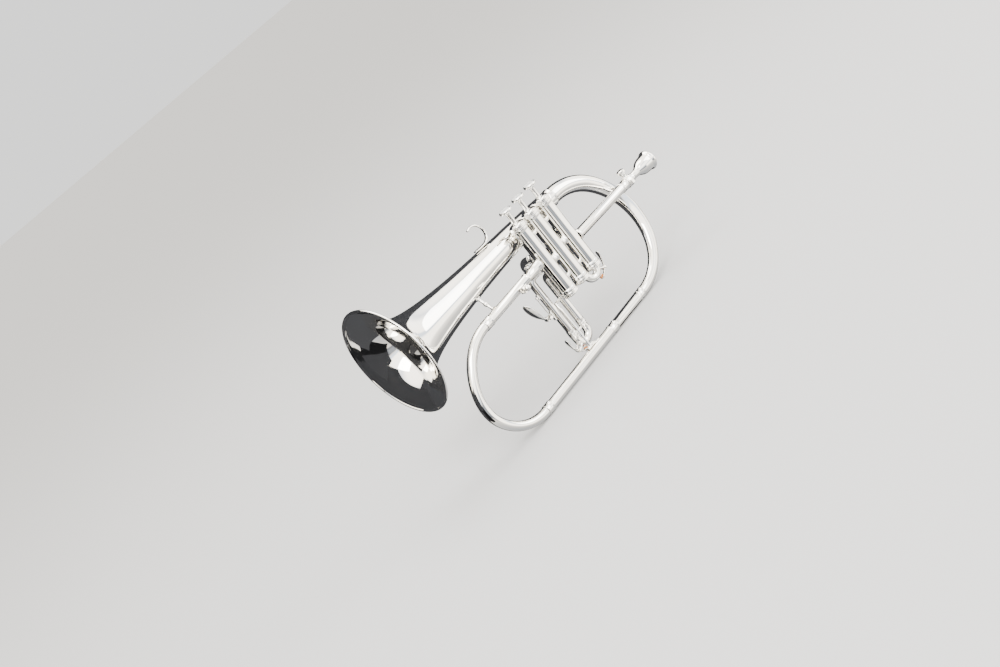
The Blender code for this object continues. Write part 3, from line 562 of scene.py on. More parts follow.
def make_knuckle(first, second, z):
    middle = (VALVE_X[first] + VALVE_X[second]) / 2
    profile = [(-3.9, 4.6), (-3.9, 5.75), (-3.3, 6.0), (-2.2, 6.0), (-1.7, 5.55), (-1.1, 5.3), (1.1, 5.3),
               (1.7, 5.55), (2.2, 6.0), (3.3, 6.0), (3.9, 5.75), (3.9, 4.6)]
    piece(f"fine_knuckle_{first}{second}", [turned(profile, (middle, 0, z), (1, 0, 0))])


def make_top_cap(number):
    """Cap with a knurled skirt and a stepped crown round the stem hole."""
    hole = STEM_R + 0.5
    low = CASING_TOP + GAP
    rows = [(low, CAP_R - 0.3), (low + 0.4, CAP_R), (low + 1.0, CAP_R), (low + 1.2, CAP_R - 0.1, 0.22),
            (CAP_TOP - 4.2, CAP_R - 0.1, 0.22), (CAP_TOP - 4.0, CAP_R), (CAP_TOP - 3.2, CAP_R),
            (CAP_TOP - 2.7, CAP_R - 0.35), (CAP_TOP - 2.5, CAP_R - 1.2), (CAP_TOP - 1.5, CAP_R - 2.2),
            (CAP_TOP - 0.9, CAP_R - 4.0), (CAP_TOP - 0.5, CAP_R - 5.6), (CAP_TOP, CAP_R - 6.1),
            (CAP_TOP, hole + 0.2), (CAP_TOP - 0.2, hole), (CAP_TOP - 2.2, hole),
            (CAP_TOP - 3.4, CASING_BORE - 0.6), (low, CASING_BORE)]
    shell = turned(rows, (VALVE_X[number], 0, 0), (0, 0, 1), 144, teeth=36)
    piece(f"fine_top_cap_{number}", [shell], edge=0, sharp=30)


def make_bottom_cap(number):
    floor = CAP_BOTTOM + 2.8
    high = CASING_BOTTOM - GAP
    rows = [(high, CAP_R - 0.3), (high - 0.4, CAP_R), (high - 1.0, CAP_R), (high - 1.2, CAP_R - 0.1, 0.22),
            (CAP_BOTTOM + 3.9, CAP_R - 0.1, 0.22), (CAP_BOTTOM + 3.7, CAP_R), (CAP_BOTTOM + 3.0, CAP_R),
            (CAP_BOTTOM + 2.4, CAP_R - 0.5), (CAP_BOTTOM + 1.8, CAP_R - 1.6), (CAP_BOTTOM + 1.5, 6.6),
            (CAP_BOTTOM + 0.9, 5.2), (CAP_BOTTOM + 0.2, 4.7), (CAP_BOTTOM, 4.3), (CAP_BOTTOM, 1.8),
            (CAP_BOTTOM + 0.2, 1.6), (floor, 1.6), (floor, CASING_BORE - 0.8), (high, CASING_BORE)]
    shell = turned(rows, (VALVE_X[number], 0, 0), (0, 0, 1), 144, teeth=36)
    piece(f"fine_bottom_cap_{number}", [shell], edge=0, sharp=30)


def make_button(number):
    recess = PEARL_R + 0.15
    floor = BUTTON_TOP - 1.7
    rows = [(STEM_FOOT, 0), (STEM_FOOT, STEM_R), (BUTTON_UNDER - 3.4, STEM_R),
            (BUTTON_UNDER - 1.4, STEM_R + 0.5), (BUTTON_UNDER - 0.4, STEM_R + 1.7),
            (BUTTON_UNDER - 0.05, STEM_R + 3.4), (BUTTON_UNDER, BUTTON_R - 1.3),
            (BUTTON_UNDER + 0.35, BUTTON_R - 0.45), (BUTTON_UNDER + 0.9, BUTTON_R - 0.05),
            (BUTTON_UNDER + 1.5, BUTTON_R), (BUTTON_TOP - 1.5, BUTTON_R),
            (BUTTON_TOP - 0.9, BUTTON_R - 0.1), (BUTTON_TOP - 0.4, BUTTON_R - 0.5),
            (BUTTON_TOP - 0.15, BUTTON_R - 0.9), (BUTTON_TOP - 0.15, recess + 0.2),
            (BUTTON_TOP - 0.4, recess), (floor, recess), (floor, 0)]
    piece(f"fine_finger_button_{number}", [turned(rows, (VALVE_X[number], 0, 0), (0, 0, 1))], edge=0)


def make_pearl(number):
    """Pearl disc, very slightly dished for the fingertip."""
    low = BUTTON_TOP - 1.4
    rows = [(low, 0), (low, PEARL_R), (BUTTON_TOP - 0.5, PEARL_R), (BUTTON_TOP - 0.12, PEARL_R - 0.35),
            (BUTTON_TOP, PEARL_R - 0.9), (BUTTON_TOP - 0.08, PEARL_R - 2.2), (BUTTON_TOP - 0.2, 2.4),
            (BUTTON_TOP - 0.24, 0)]
    shell = turned(rows, (VALVE_X[number], 0, 0), (0, 0, 1))
    piece(f"fine_pearl_{number}", [shell], "mother_of_pearl", edge=0)


def make_spring(number):
    """Round-wire spring, closer at its ends."""
    x = VALVE_X[number]
    turns = 5
    steps = turns * 32
    stations = []
    for i in range(steps + 1):
        angle = math.tau * turns * i / steps
        height = SPRING_LOW + SPRING_LENGTH * smoothstep(0.04 + 0.92 * i / steps)
        stations.append((Vector((x + SPRING_R * math.cos(angle), SPRING_R * math.sin(angle), height)),
                         0.5, 0))
    made = piece(f"fine_valve_spring_{number}", [swept(stations, 12)], "spring_steel", edge=0)
    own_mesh(made)


# ---------------------------------------------------------------- leadpipe and mouthpiece
def lead(station, y=0.0, up=0.0):
    """Point on the leadpipe's axis, or shifted from it."""
    return LEAD_START + LEAD_DIR * station + Vector((0, y, up))


def make_sleeve():
    rows = [(0, 5.2), (0, 6.8), (0.5, 7.1), (2.6, 7.1), (3.2, 6.7), (3.8, 6.25),
            (SLEEVE_END - 12, SLEEVE_R)]
    rows += ferrule(SLEEVE_END - 11, 11, SLEEVE_R, 0.55) + [(SLEEVE_END, 5.2)]
    piece("fine_leadpipe_sleeve", [turned(rows, LEAD_START, LEAD_DIR)], edge=0, sharp=60)


def make_collar():
    bore = 5.2
    first, last = COLLAR
    rows = [(first, bore), (first, 7.2), (first + 0.5, 7.8), (first + 1.4, 7.9), (first + 1.9, 7.5),
            (last - 1.9, 7.5), (last - 1.4, 7.9), (last - 0.5, 7.8), (last, 7.2), (last, bore)]
    middle = (first + last) / 2
    boss = [(6.5, 2.0), (6.5, 3.6), (7.6, 3.2), (10.8, 3.2), (11.2, 3.5), (11.8, 3.5), (12.0, 3.2),
            (12.0, 2.0)]
    shells = [turned(rows, LEAD_START, LEAD_DIR), turned(boss, lead(middle), (0, 0, 1), 40),
              brick(lead(middle, y=-8.4, up=-1.0), (4.4, 3.4, 6.0))]
    piece("fine_clamp_collar", shells, edge=0.3)


def make_clamp_screw():
    """Thumb screw with a knurled disc head."""
    foot, knob = 5.4, 12.5
    rows = [(foot, 0), (foot, 1.3), (foot + 0.3, 1.5), (knob, 1.5), (knob + 0.1, 3.4), (knob + 0.5, 4.7),
            (knob + 0.9, 5.2), (knob + 1.2, 5.3, 0.3), (knob + 4.1, 5.3, 0.3), (knob + 4.4, 5.2),
            (knob + 4.9, 4.7), (knob + 5.3, 3.4), (knob + 5.9, 1.7), (knob + 6.1, 0)]
    middle = (COLLAR[0] + COLLAR[1]) / 2
    piece("fine_clamp_screw", [turned(rows, lead(middle), (0, 0, 1), 96, teeth=24)], edge=0, sharp=30)


def make_mouthpipe():
    """Inner tuning pipe with the receiver ring at its outer end."""
    rows = [(58, 4.05), (58, 4.75), (COLLAR[1] + 1.3, 4.75), (COLLAR[1] + 1.6, 5.5), (COLLAR[1] + 2.0, 5.7),
            (PIPE_END - 2.4, 5.6), (PIPE_END - 1.9, 5.7), (PIPE_END - 0.6, 5.65), (PIPE_END, 5.2),
            (PIPE_END, 4.3)]
    piece("fine_mouthpipe", [turned(rows, LEAD_START, LEAD_DIR)], "inner_tube_silver", edge=0)


def make_mouthpiece():
    """Tapered shank, turned shoulder, cup and rounded rim."""
    start, end = MOUTHPIECE_START, MOUTHPIECE_END
    shank = [(start, 2.6), (start, 3.1), (PIPE_END + GAP, 3.75), (PIPE_END + 1.0, 4.3),
             (PIPE_END + 1.8, 4.7), (end - 31.0, 4.95)]
    body = smooth_profile([(end - 31.0, 4.95), (end - 27.0, 6.0), (end - 23.0, 8.3), (end - 18.5, 10.3),
                           (end - 13.0, 11.3), (end - 8.0, 11.7)], 6)
    rim = [(end - 6.2, 11.7), (end - 5.4, 12.0), (end - 4.6, 12.9)]
    rim += [(end - 2.4 + 2.4 * math.sin(math.radians(a)), 11.2 + 2.35 * math.cos(math.radians(a)))
            for a in range(-40, 91, 13)]
    cup = smooth_profile([(end - 0.15, 10.0), (end - 0.9, 9.0), (end - 2.8, 8.3), (end - 8, 7.4),
                          (end - 13, 5.6), (end - 17, 3.6), (end - 24, 2.3)], 6)
    rows = shank + body[1:] + rim + cup + [(start, 2.3)]
    piece("fine_mouthpiece", [turned(rows, LEAD_START, LEAD_DIR, 96)], edge=0, sharp=50)


# ---------------------------------------------------------------- slides
def leg_stations(path):
    """Outer leg along a path that starts at its open end, which carries a beaded ring."""
    start = path[0]
    way = (path[1] - path[0]).normalized()
    stations = []
    for along, rise in ((0, 0.3), (0.3, 0.75), (1.2, 0.75), (1.6, 0.5), (4.6, 0.5), (4.9, 0.7), (5.6, 0.7),
                        (6.0, 0.0)):
        stations.append((start + way * along, LEG_R + rise - 0.15, LEG_BORE))
    for point in path[1:]:
        stations.append((point, LEG_R - 0.03, LEG_BORE))
    return stations


def leg_to_casing(name, foot, turn_z, bend, valve, end_z):
    """Outer leg that rises from its open end and bends over into a valve's casing."""
    axis_point = Vector((VALVE_X[valve], 0, 0))
    base = Vector((foot[0], foot[1], 0))
    inward = (axis_point - base).normalized()
    path = [Vector((foot[0], foot[1], end_z)), Vector((foot[0], foot[1], turn_z - bend - 1))]
    for i in range(17):
        angle = math.pi / 2 * i / 16
        point = base + inward * bend * (1 - math.cos(angle))
        point.z = turn_z - bend + bend * math.sin(angle)
        path.append(point)
    reach = (axis_point - base).length - CASING_R - 0.1
    if reach > bend:
        end = base + inward * reach
        end.z = turn_z
        path.append(end)
    collar = turned([(-1.8, 4.7), (-1.8, 5.4), (-1.2, 5.8), (0.2, 5.9), (0.2, 4.7)], path[-1], inward, 40)
    piece(f"fine_{name}", [swept(leg_stations(path), ends=((0, 0, 1), inward)), collar], edge=0, sharp=60,
          nodes=[name])


def bow_stations(front, rear, end, travel_in):
    """Two inner legs and the bow, with the rings that stop the slide against its outer legs."""
    across = rear - front
    radius = across.length / 2
    across.normalize()
    crook = (front + rear) / 2 + end * (0.6 + CROOK)
    half = []
    for leg in (front, rear):
        half.append([(leg - end * travel_in, INNER_R, INNER_BORE),
                     (leg + end * 0.9, INNER_R, INNER_BORE), (leg + end * 1.0, BOW_R + 0.2, INNER_BORE),
                     (leg + end * 1.3, BOW_R + 0.45, INNER_BORE),
                     (leg + end * 1.9, BOW_R + 0.45, INNER_BORE),
                     (leg + end * 2.3, BOW_R + 0.1, INNER_BORE),
                     (leg + end * 5.6, BOW_R + 0.1, INNER_BORE),
                     (leg + end * 5.9, BOW_R - 0.05, INNER_BORE)])
    steps = 28
    turn = []
    for i in range(steps + 1):
        angle = math.pi * i / steps
        turn.append((crook - across * radius * math.cos(angle) + end * radius * math.sin(angle),
                     BOW_R - 0.03, INNER_BORE))
    return half[0] + turn + half[1][::-1]


def polar(key, degrees, out):
    """Point a distance outside a slide's bow, at an angle round the bow's centre."""
    reach = key["radius"] + BOW_R + out
    angle = math.radians(degrees)
    return Vector((key["bow"][0] + reach * math.cos(angle), key["y"],
                   key["bow"][1] + reach * math.sin(angle)))


def key_seat(key):
    """Saddle posts with the pivot screw, and the short nipple that the cork closes."""
    pivot = polar(key, key["pivot_deg"], PIVOT_OUT)
    root = polar(key, key["pivot_deg"], -2.8)
    outward = (pivot - root).normalized()
    shells = []
    for side in (-1, 1):
        shift = Vector((0, side * 3.9, 0))
        shells.append(bar(root + shift, pivot + outward * 1.7 + shift, 1.15))
        shells.append(turned([(-0.9, 0), (-0.9, 1.5), (-0.5, 1.75), (0.5, 1.75), (0.9, 1.5), (0.9, 0)],
                             pivot + shift, (0, 1, 0), 24))
    shells.append(bar(pivot - Vector((0, 5.1, 0)), pivot + Vector((0, 5.1, 0)), 0.9, soft=0.2))
    low = polar(key, key["cork_deg"], -1.5)
    high = polar(key, key["cork_deg"], SEAT_OUT)
    span = (high - low).length
    shells.append(turned([(0, 3.2), (1.6, 3.0), (2.0, 2.5), (span - 0.5, 2.4), (span, 2.2), (span, 0.9),
                          (0, 0.9)], low, high - low, 40))
    return shells


def make_slide1():
    leg_to_casing("slide1_leg_front", (SLIDE1_X[0], SLIDE1_Y), 12.0, 7.0, 1, SLIDE1_END)
    leg_to_casing("slide1_leg_rear", (SLIDE1_X[1], SLIDE1_Y), -25.0, 8.0, 1, SLIDE1_END)
    front = Vector((SLIDE1_X[0], SLIDE1_Y, SLIDE1_END))
    rear = Vector((SLIDE1_X[1], SLIDE1_Y, SLIDE1_END))
    bow = swept(bow_stations(front, rear, DOWN, 15.0))
    piece("fine_slide1_bow", [bow] + key_seat(WATER_KEYS[1]), edge=0, sharp=60)


def make_slide2():
    """Second valve's slide, which points sideways under the bell."""
    for name, z in zip(("upper", "lower"), SLIDE2_Z):
        origin = Vector((0, 0, z))
        rows = [(CASING_R + 0.2, LEG_BORE), (CASING_R + 0.2, 5.9), (CASING_R + 1.6, 5.8),
                (CASING_R + 2.2, 5.3), (CASING_R + 2.8, LEG_R), (SLIDE2_END - 5.8, LEG_R),
                (SLIDE2_END - 5.4, LEG_R + 0.55), (SLIDE2_END - 4.7, LEG_R + 0.55),
                (SLIDE2_END - 4.4, LEG_R + 0.35), (SLIDE2_END - 1.6, LEG_R + 0.35),
                (SLIDE2_END - 1.2, LEG_R + 0.6), (SLIDE2_END - 0.3, LEG_R + 0.6),
                (SLIDE2_END, LEG_R + 0.2), (SLIDE2_END, LEG_BORE)]
        piece(f"fine_slide2_leg_{name}", [turned(rows, origin, SLIDE2_DIR, ROUND)], edge=0, sharp=60)
    ends = [SLIDE2_DIR * SLIDE2_END + Vector((0, 0, z)) for z in SLIDE2_Z]
    piece("fine_slide2_bow", [swept(bow_stations(ends[0], ends[1], SLIDE2_DIR, 22.0))], edge=0, sharp=60)


def bezier(p0, p1, p2, p3, steps):
    points = []
    for i in range(steps + 1):
        t = i / steps
        u = 1 - t
        points.append(p0 * u ** 3 + p1 * 3 * u * u * t + p2 * 3 * u * t * t + p3 * t ** 3)
    return points


def make_slide3():
    front_x, rear_x = SLIDE3_X
    y = SLIDE3_Y
    rise = bezier(Vector((front_x, y, -16)), Vector((front_x, y, -5.8)), Vector((-42.0, 14.7, -5.8)),
                  Vector((-33.8, 7.3, -5.8)), 24)
    path = [Vector((front_x, y, SLIDE3_END)), Vector((front_x, y, -18))] + rise
    piece("fine_slide3_leg_front", [swept(leg_stations(path), ends=((0, 0, 1), (8.2, -7.4, 0)))],
          edge=0, sharp=60)
    leg_to_casing("slide3_leg_rear", (rear_x, y), -18.0, 6.7, 3, SLIDE3_END)
    bow = swept(bow_stations(Vector((front_x, y, SLIDE3_END)), Vector((rear_x, y, SLIDE3_END)), DOWN, 28.0))
    piece("fine_slide3_bow", [bow] + key_seat(WATER_KEYS[3]), edge=0, sharp=60)


# ---------------------------------------------------------------- water keys
def make_water_key(number):
    key = WATER_KEYS[number]
    pivot = polar(key, key["pivot_deg"], PIVOT_OUT)
    side = key["side"]
    cork_out = SEAT_OUT + GAP + CORK_LENGTH + 0.1
    hub = turned([(-2.2, 2.3), (-1.6, 2.5), (1.6, 2.5), (2.2, 2.3), (2.2, 1.3), (-2.2, 1.3)], pivot,
                 (0, 1, 0), 40)
    cup_base = polar(key, key["cork_deg"], cork_out)
    cup_top = polar(key, key["cork_deg"], cork_out + 1.7)
    cup = turned([(-0.9, 3.05), (-0.9, 3.35), (0.2, 3.4), (0.8, 3.2), (1.4, 2.3), (1.7, 0), (0.1, 0),
                  (0.1, 3.05)], cup_base, cup_top - cup_base, 40)
    mid_deg = (key["cork_deg"] + key["pivot_deg"]) / 2
    arm_mid = polar(key, mid_deg, cork_out + 1.6)
    arm = strip([(pivot.x + side * 0.2, pivot.z - 1.9, 1.6, 0.8), (arm_mid.x, arm_mid.z, 1.5, 0.7),
                 (cup_top.x, cup_top.z, 1.4, 0.7)], key["y"], 20, 0.9)
    thumb = strip([(pivot.x + side * 1.7, pivot.z - 0.4, 1.5, 0.8),
                   (pivot.x + side * 4.2, pivot.z + 5.5, 1.6, 0.7),
                   (pivot.x + side * 6.0, pivot.z + 13.0, 2.4, 0.7),
                   (pivot.x + side * 6.6, pivot.z + 19.0, 3.2, 0.8),
                   (pivot.x + side * 6.4, pivot.z + 21.0, 1.4, 0.6)], key["y"], 20, 0.9)
    piece(f"fine_water_key_{number}", [hub, cup, arm, thumb], edge=0, sharp=50)
    cork = bar(polar(key, key["cork_deg"], SEAT_OUT + GAP),
               polar(key, key["cork_deg"], SEAT_OUT + GAP + CORK_LENGTH), 2.9, 40, 0.35)
    piece(f"fine_water_cork_{number}", [cork], "cork", edge=0)


# ---------------------------------------------------------------- third-slide trigger
def make_trigger():
    pivot = TRIGGER_PIVOT
    leg_x = SLIDE3_X[0] - LEG_R - GAP
    shells = [bar(pivot - Vector((0, 2.0, 0)), (pivot.x, TRIGGER_ARM_Y + 2.6, pivot.z), 1.2),
              brick((leg_x - 0.8, SLIDE3_Y, pivot.z), (1.4, 4.4, 13.0)),
              brick(((leg_x - 0.8 + pivot.x) / 2, SLIDE3_Y, pivot.z),
                    (leg_x - 0.8 - pivot.x + 2.0, 3.0, 3.2)),
              brick((leg_x - 0.8, SLIDE3_Y, -29), (1.4, 4.0, 6.0)),
              brick((leg_x - 2.2, SLIDE3_Y, -29), (4.4, 2.2, 2.2)),
              bar((leg_x - 3.2, SLIDE3_Y, -28), (leg_x - 3.2, SLIDE3_Y, pivot.z - 0.5), 0.8)]
    piece("fine_trigger_bracket", shells, edge=0.3)
    hub_mid = (SLIDE3_Y + 2.4 + TRIGGER_ARM_Y + 1.2) / 2
    half = (TRIGGER_ARM_Y + 1.2 - SLIDE3_Y - 2.4) / 2
    hub = turned([(-half, 2.6), (-half + 0.5, 2.95), (half - 0.5, 2.95), (half, 2.6), (half, 1.6),
                  (-half, 1.6)], (pivot.x, hub_mid, pivot.z), (0, 1, 0), 40)
    paddle = strip([(pivot.x - 1.6, pivot.z + 1.6, 1.9, 1.1), (pivot.x - 4.6, pivot.z + 5.5, 2.4, 1.0),
                    (pivot.x - 7.6, pivot.z + 11.0, 4.0, 1.3), (pivot.x - 10.4, pivot.z + 18.0, 5.1, 1.5),
                    (pivot.x - 12.8, pivot.z + 25.5, 5.0, 1.5), (pivot.x - 14.4, pivot.z + 31.0, 3.6, 1.2),
                    (pivot.x - 15.2, pivot.z + 33.2, 1.6, 0.7)], PADDLE_Y, 28, 0.9, PADDLE_TWIST)
    arm = strip([(pivot.x + 1.4, pivot.z, 1.1, 1.9), (pivot.x + 11.0, pivot.z - 0.8, 1.1, 1.7),
                 (LINK_X - 0.5, pivot.z - 1.5, 1.1, 1.6), (LINK_X + 1.8, pivot.z - 1.6, 1.1, 1.0)],
                TRIGGER_ARM_Y)
    piece("fine_trigger_lever", [hub, paddle, arm], edge=0, sharp=50)
    top = pivot.z + 2.5
    bar_z = SLIDE3_END - 3.0
    link = [bar((LINK_X, LINK_Y, top), (LINK_X, LINK_Y, bar_z - 1.5), 1.2),
            turned([(-2.0, 0), (-2.0, 1.9), (-1.6, 2.2), (1.6, 2.2), (2.0, 1.9), (2.0, 0)],
                   (LINK_X, LINK_Y + 0.5, top), (0, 1, 0), 32),
            bar((SLIDE3_X[0] + BOW_R, SLIDE3_Y, bar_z), (SLIDE3_X[1] - BOW_R, SLIDE3_Y, bar_z), 1.5),
            bar((LINK_X, LINK_Y + 0.6, bar_z), (LINK_X, SLIDE3_Y - 0.6, bar_z), 1.3)]
    piece("fine_trigger_link", link, edge=0)


def make_slide3_brace():
    bar_z = -51.0
    left = SLIDE3_X[0] + LEG_R
    right = SLIDE3_X[1] - LEG_R
    y = SLIDE3_Y - 2.2
    foot = Vector((-50.0, 1.5, LOWER_Z + 8.2))
    curve = smooth([Vector((left + 1.9, y, bar_z)), Vector((-44.6, 9.6, -63.0)),
                    Vector((-47.4, 5.2, -88.0)), foot], 8)
    shells = [bar((left + 0.2, y, bar_z), (right - 0.2, y, bar_z), 1.7),
              swept([(point, 1.35, 0) for point in curve], 24),
              brick((-50.0, 0.5, LOWER_Z + 7.7), (15.0, 6.5, 1.4))]
    piece("fine_slide3_brace", shells, edge=0.25)


# ---------------------------------------------------------------- braces and fittings
def stay(name, centre_a, radius_a, centre_b, radius_b, rod_r=1.7, foot_r=4.4, knop=2.7):
    """Turned stay with a flared foot at each end and a knop with two beads in the middle."""
    way = (centre_b - centre_a).normalized()
    start = centre_a + way * radius_a
    end = centre_b - way * radius_b
    length = (end - start).length
    half = length / 2
    flare = [(0, foot_r), (0.5, foot_r * 0.92), (1.0, foot_r * 0.7), (1.7, rod_r * 1.25), (2.8, rod_r)]
    middle = [(half - 3.0, rod_r), (half - 2.5, rod_r + 0.6), (half - 1.9, rod_r + 0.3), (half - 1.2, knop),
              (half, knop + 0.15)]
    rows = [(0, 0)] + flare + middle
    rows += [(length - s, r) for s, r in middle[:-1][::-1]] + [(length - s, r) for s, r in flare[::-1]]
    rows.append((length, 0))
    piece(f"fine_{name}", [turned(rows, start, end - start, 48)], edge=0, sharp=50, nodes=[name])


def make_braces():
    stay("bell_brace", Vector((-122, 0, EXIT_Z)), 5.6, bell_point(-122), bell_radius(-122) - 0.4)
    bow_centre, bow_radius = rear_bow_station(34)
    stay("rear_brace", lead(88.0), SLEEVE_R - 0.3, bow_centre, bow_radius - 0.4, foot_r=2.8, knop=2.4)
    x = VALVE_X[1]
    axis_z = bell_point(x).z
    end_y = BELL_Y - bell_radius(x) + 0.6
    rows = [(0, 0), (0, 4.2), (0.5, 3.9), (0.8, 3.4), (end_y - CASING_R - 0.8, 3.4),
            (end_y - CASING_R, 3.9), (end_y - CASING_R, 0)]
    piece("fine_bell_valve_brace", [turned(rows, (x, CASING_R - 0.3, axis_z), (0, 1, 0), 40)], edge=0)


def make_finger_hook():
    base_z = bell_point(-64).z + bell_radius(-64) + 1.4
    hook = strip([(-77.0, base_z + 1.6, 2.6, 0.8), (-72.0, base_z + 1.0, 3.4, 1.0),
                  (-60.0, base_z + 0.4, 3.2, 1.0), (-53.5, base_z + 2.0, 2.8, 1.1),
                  (-49.5, base_z + 6.5, 2.4, 1.1), (-48.2, base_z + 13.0, 2.2, 1.1),
                  (-50.0, base_z + 19.5, 2.0, 1.1), (-54.6, base_z + 24.6, 2.0, 1.1),
                  (-61.0, base_z + 26.8, 2.0, 1.1), (-67.0, base_z + 25.4, 1.8, 1.0)], BELL_Y, 24, 0.75)
    piece("fine_finger_hook", [hook], edge=0)


def make_lyre_holder():
    """Square socket for a music clip, built of four walls, with its thumb screw."""
    x, y, z = -81.5, -11.8, EXIT_Z - 2.0
    walls = [brick((x, y + 3.25, z), (8, 1.5, 8)), brick((x, y - 3.25, z), (8, 1.5, 8)),
             brick((x, y, z + 3.25), (8, 5, 1.5)), brick((x, y, z - 3.25), (8, 5, 1.5)),
             brick((x, -7.0, z + 1.0), (6.0, 2.4, 4.0))]
    piece("fine_lyre_socket", walls, edge=0.3)
    rows = [(0, 0), (0, 1.2), (2.4, 1.2), (2.6, 1.9), (3.2, 2.6), (4.2, 3.3), (4.8, 3.7), (5.2, 3.8, 0.25),
            (6.2, 3.8, 0.25), (6.6, 3.7), (7.4, 3.2), (8.1, 2.3), (8.7, 0)]
    piece("fine_lyre_screw", [turned(rows, (x, y - 2.0, z), (0, -1, 0), 72, teeth=18)], edge=0, sharp=30)


# ---------------------------------------------------------------- stage
BACKDROP = (0.48, 0.48, 0.474)
FLOOR_GREY = (0.48, 0.48, 0.48)
FLAG_BLACK = (0.02, 0.021, 0.024)
STUDIO_STRENGTH = 3.0
MIRROR_BOOST = 1.8                  # added to the studio's strength where metal mirrors it
FLOOR_DROP = 0.0005                 # gap under the horn, metres
# the camera's axes and its place in metres
VIEW_RIGHT = Vector((0.5639, -0.5550, -0.6115))
VIEW_UP = Vector((0.6576, -0.1460, 0.7390))
VIEW_AHEAD = Vector((0.4995, 0.8189, -0.2827))
VIEW_FROM = (-0.9438, -1.3209, 0.4392)
VIEW_LENS = 50.4


def aim(thing, position, target):
    thing.location = position
    thing.rotation_euler = (Vector(target) - Vector(position)).to_track_quat("-Z", "Y").to_euler()


def make_camera():
    """Perspective view from the player's front left, rolled as the horn leans."""
    lens = bpy.data.cameras.new("camera")
    lens.lens = VIEW_LENS
    camera = bpy.data.objects.new("camera", lens)
    turn = Matrix((VIEW_RIGHT, VIEW_UP, -VIEW_AHEAD)).transposed().to_4x4()
    camera.matrix_world = Matrix.Translation(VIEW_FROM) @ turn
    bpy.context.scene.collection.objects.link(camera)
    bpy.context.scene.camera = camera


def area_light(name, position, target, size, power):
    lamp = bpy.data.lights.new(name, "AREA")
    lamp.shape = "RECTANGLE"
    lamp.size, lamp.size_y = size
    lamp.energy = power
    made = bpy.data.objects.new(name, lamp)
    aim(made, position, target)
    bpy.context.scene.collection.objects.link(made)


def plain_material(name, colour):
    made, _, shader = new_material(name)
    shader.inputs["Base Color"].default_value = (*colour, 1)
    shader.inputs["Roughness"].default_value = 0.9
    shader.inputs["Specular IOR Level"].default_value = 0.0
    return made


def plate(name, centre, target, size, material):
    """Flat card, square on to a target."""
    mesh = bpy.data.meshes.new(name)
    x, y = size[0] / 2, size[1] / 2
    mesh.from_pydata([(-x, -y, 0), (x, -y, 0), (x, y, 0), (-x, y, 0)], [], [(0, 1, 2, 3)])
    made = bpy.data.objects.new(name, mesh)
    aim(made, centre, target)
    mesh.materials.append(material)
    bpy.context.scene.collection.objects.link(made)
    return made


def make_world():
    """Plain pale backdrop for the camera, and a banded studio round it for reflections."""
    world = bpy.data.worlds.new("studio")
    bpy.context.scene.world = world
    world.use_nodes = True
    tree = world.node_tree
    place = tree.nodes.new("ShaderNodeTexCoord")
    split = tree.nodes.new("ShaderNodeSeparateXYZ")
    lift = tree.nodes.new("ShaderNodeMapRange")
    lift.inputs["From Min"].default_value = -1.0
    tree.links.new(place.outputs["Generated"], split.inputs["Vector"])
    tree.links.new(split.outputs["Z"], lift.inputs["Value"])
    height = lift.outputs["Result"]
    cream = (1.0, 0.95, 0.86)
    steel = (0.42, 0.46, 0.52)
    bands = [(0.0, (0.15, 0.155, 0.165)), (0.20, (0.26, 0.255, 0.245)), (0.29, (0.50, 0.48, 0.45)),
             (0.335, cream), (0.44, cream), (0.475, steel),
             (0.51, steel), (0.545, cream), (0.72, (1.0, 0.975, 0.93)), (0.80, (0.50, 0.52, 0.56)),
             (0.88, cream)]
    studio = ramp(tree, height, bands)
    # upright stripes just below the horizon, which the casings and stems mirror
    compass = tree.nodes.new("ShaderNodeTexGradient")
    compass.gradient_type = "RADIAL"
    tree.links.new(place.outputs["Generated"], compass.inputs["Vector"])
    dusk = (0.05, 0.055, 0.07)
    slate = (0.12, 0.135, 0.165)
    stripes = ramp(tree, compass.outputs["Fac"],
                   [(0.120, 1.0), (0.135, dusk), (0.150, dusk), (0.165, slate), (0.270, slate),
                    (0.300, 1.0), (0.540, 1.0), (0.555, 0.35), (0.590, 0.35), (0.610, 1.0)])
    low = ramp(tree, height, [(0.24, 0.0), (0.29, 1.0), (0.43, 1.0), (0.48, 0.0)])
    striped = tree.nodes.new("ShaderNodeMix")
    striped.data_type = "RGBA"
    striped.blend_type = "MULTIPLY"
    tree.links.new(low, striped.inputs["Factor"])
    tree.links.new(studio, striped.inputs["A"])
    tree.links.new(stripes, striped.inputs["B"])
    sight = tree.nodes.new("ShaderNodeLightPath")
    choose = tree.nodes.new("ShaderNodeMix")
    choose.data_type = "RGBA"
    choose.inputs["B"].default_value = (*BACKDROP, 1)
    tree.links.new(sight.outputs["Is Camera Ray"], choose.inputs["Factor"])
    tree.links.new(striped.outputs["Result"], choose.inputs["A"])
    mirrored = tree.nodes.new("ShaderNodeMath")
    mirrored.operation = "MULTIPLY_ADD"
    mirrored.inputs[1].default_value = MIRROR_BOOST
    mirrored.inputs[2].default_value = STUDIO_STRENGTH
    tree.links.new(sight.outputs["Is Glossy Ray"], mirrored.inputs[0])
    background = tree.nodes["Background"]
    tree.links.new(mirrored.outputs["Value"], background.inputs["Strength"])
    tree.links.new(choose.outputs["Result"], background.inputs["Color"])


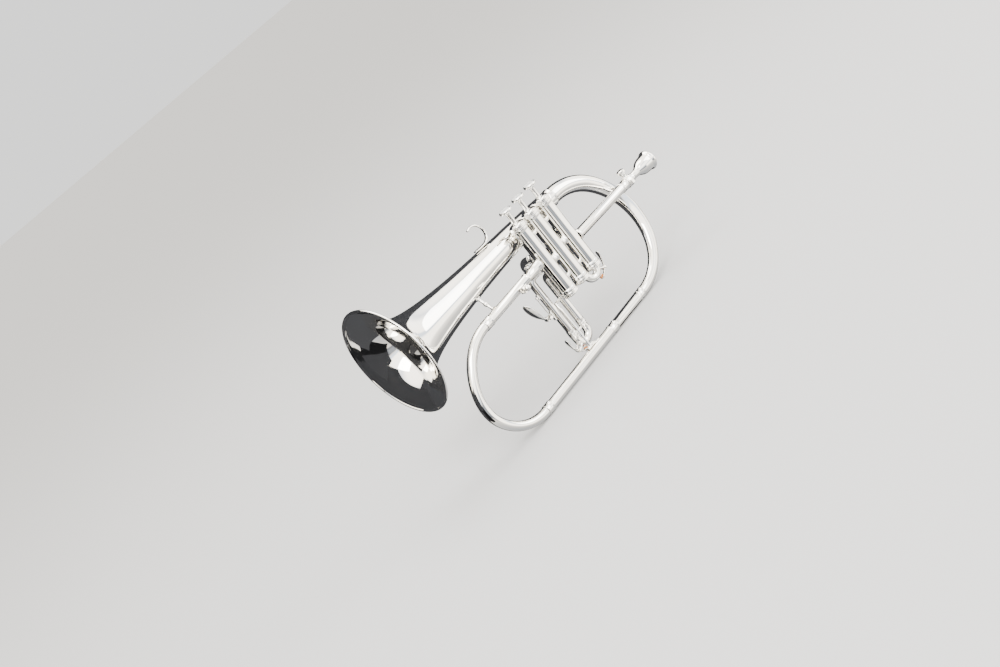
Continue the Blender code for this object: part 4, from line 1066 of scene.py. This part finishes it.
def make_stage():
    """Pale floor, soft boxes, and dark cards that only reflections see."""
    floor_z = CAD_BOX[0][2] - FLOOR_DROP
    floor = plate("floor", (0, 0, floor_z), (0, 0, floor_z - 1), (60, 60),
                  plain_material("floor", FLOOR_GREY))
    floor.visible_glossy = False
    dark = plain_material("flag", FLAG_BLACK)
    middle = Vector((0.0, 0.03, 0.0))
    cards = [plate("flag_behind", middle + VIEW_AHEAD * 0.55 - VIEW_RIGHT * 0.25, middle, (2.3, 1.9), dark),
             plate("flag_left", (-0.80, 0.20, 0.12), (-0.2, 0.0, 0.05), (1.3, 0.75), dark),
             plate("flag_low_left", (-0.62, -0.10, floor_z + 0.03), (-0.30, 0.0, 0.1), (0.55, 0.5), dark),
             plate("flag_under", (0.0, 0.29, floor_z + 0.0002), (0.0, 0.29, -5), (1.1, 0.50), dark)]
    for card in cards:
        card.visible_camera = False
        card.visible_shadow = False
        card.visible_diffuse = False
    area_light("key", (-1.2, -1.3, 1.6), middle, (1.3, 1.3), 75)
    area_light("fill", (1.5, -1.2, 0.8), middle, (1.0, 1.6), 35)
    area_light("top", (0.3, 0.2, 2.0), middle, (1.6, 1.0), 40)


def carry_over():
    """Finished materials for the frame's nodes, which show where no finer piece replaces them."""
    for node in frame["nodes"]:
        slot = SLOT_OF[node]
        thing = frame["nodes"][node]
        for index in range(len(thing.material_slots)):
            thing.material_slots[index].material = MATERIALS[slot]


def main():
    carry_over()
    make_bell()
    make_rear_bow()
    make_lower_tube()
    make_front_bow()
    make_exit_tube()
    for number in (1, 2, 3):
        make_casing(number)
        make_top_cap(number)
        make_bottom_cap(number)
        make_button(number)
        make_pearl(number)
        make_spring(number)
    make_knuckle(1, 2, -1.0)
    make_knuckle(2, 3, -6.6)
    make_sleeve()
    make_collar()
    make_clamp_screw()
    make_mouthpipe()
    make_mouthpiece()
    make_slide1()
    make_slide2()
    make_slide3()
    for number in WATER_KEYS:
        make_water_key(number)
    make_trigger()
    make_slide3_brace()
    make_braces()
    make_finger_hook()
    make_lyre_holder()
    make_camera()
    make_world()
    make_stage()


main()
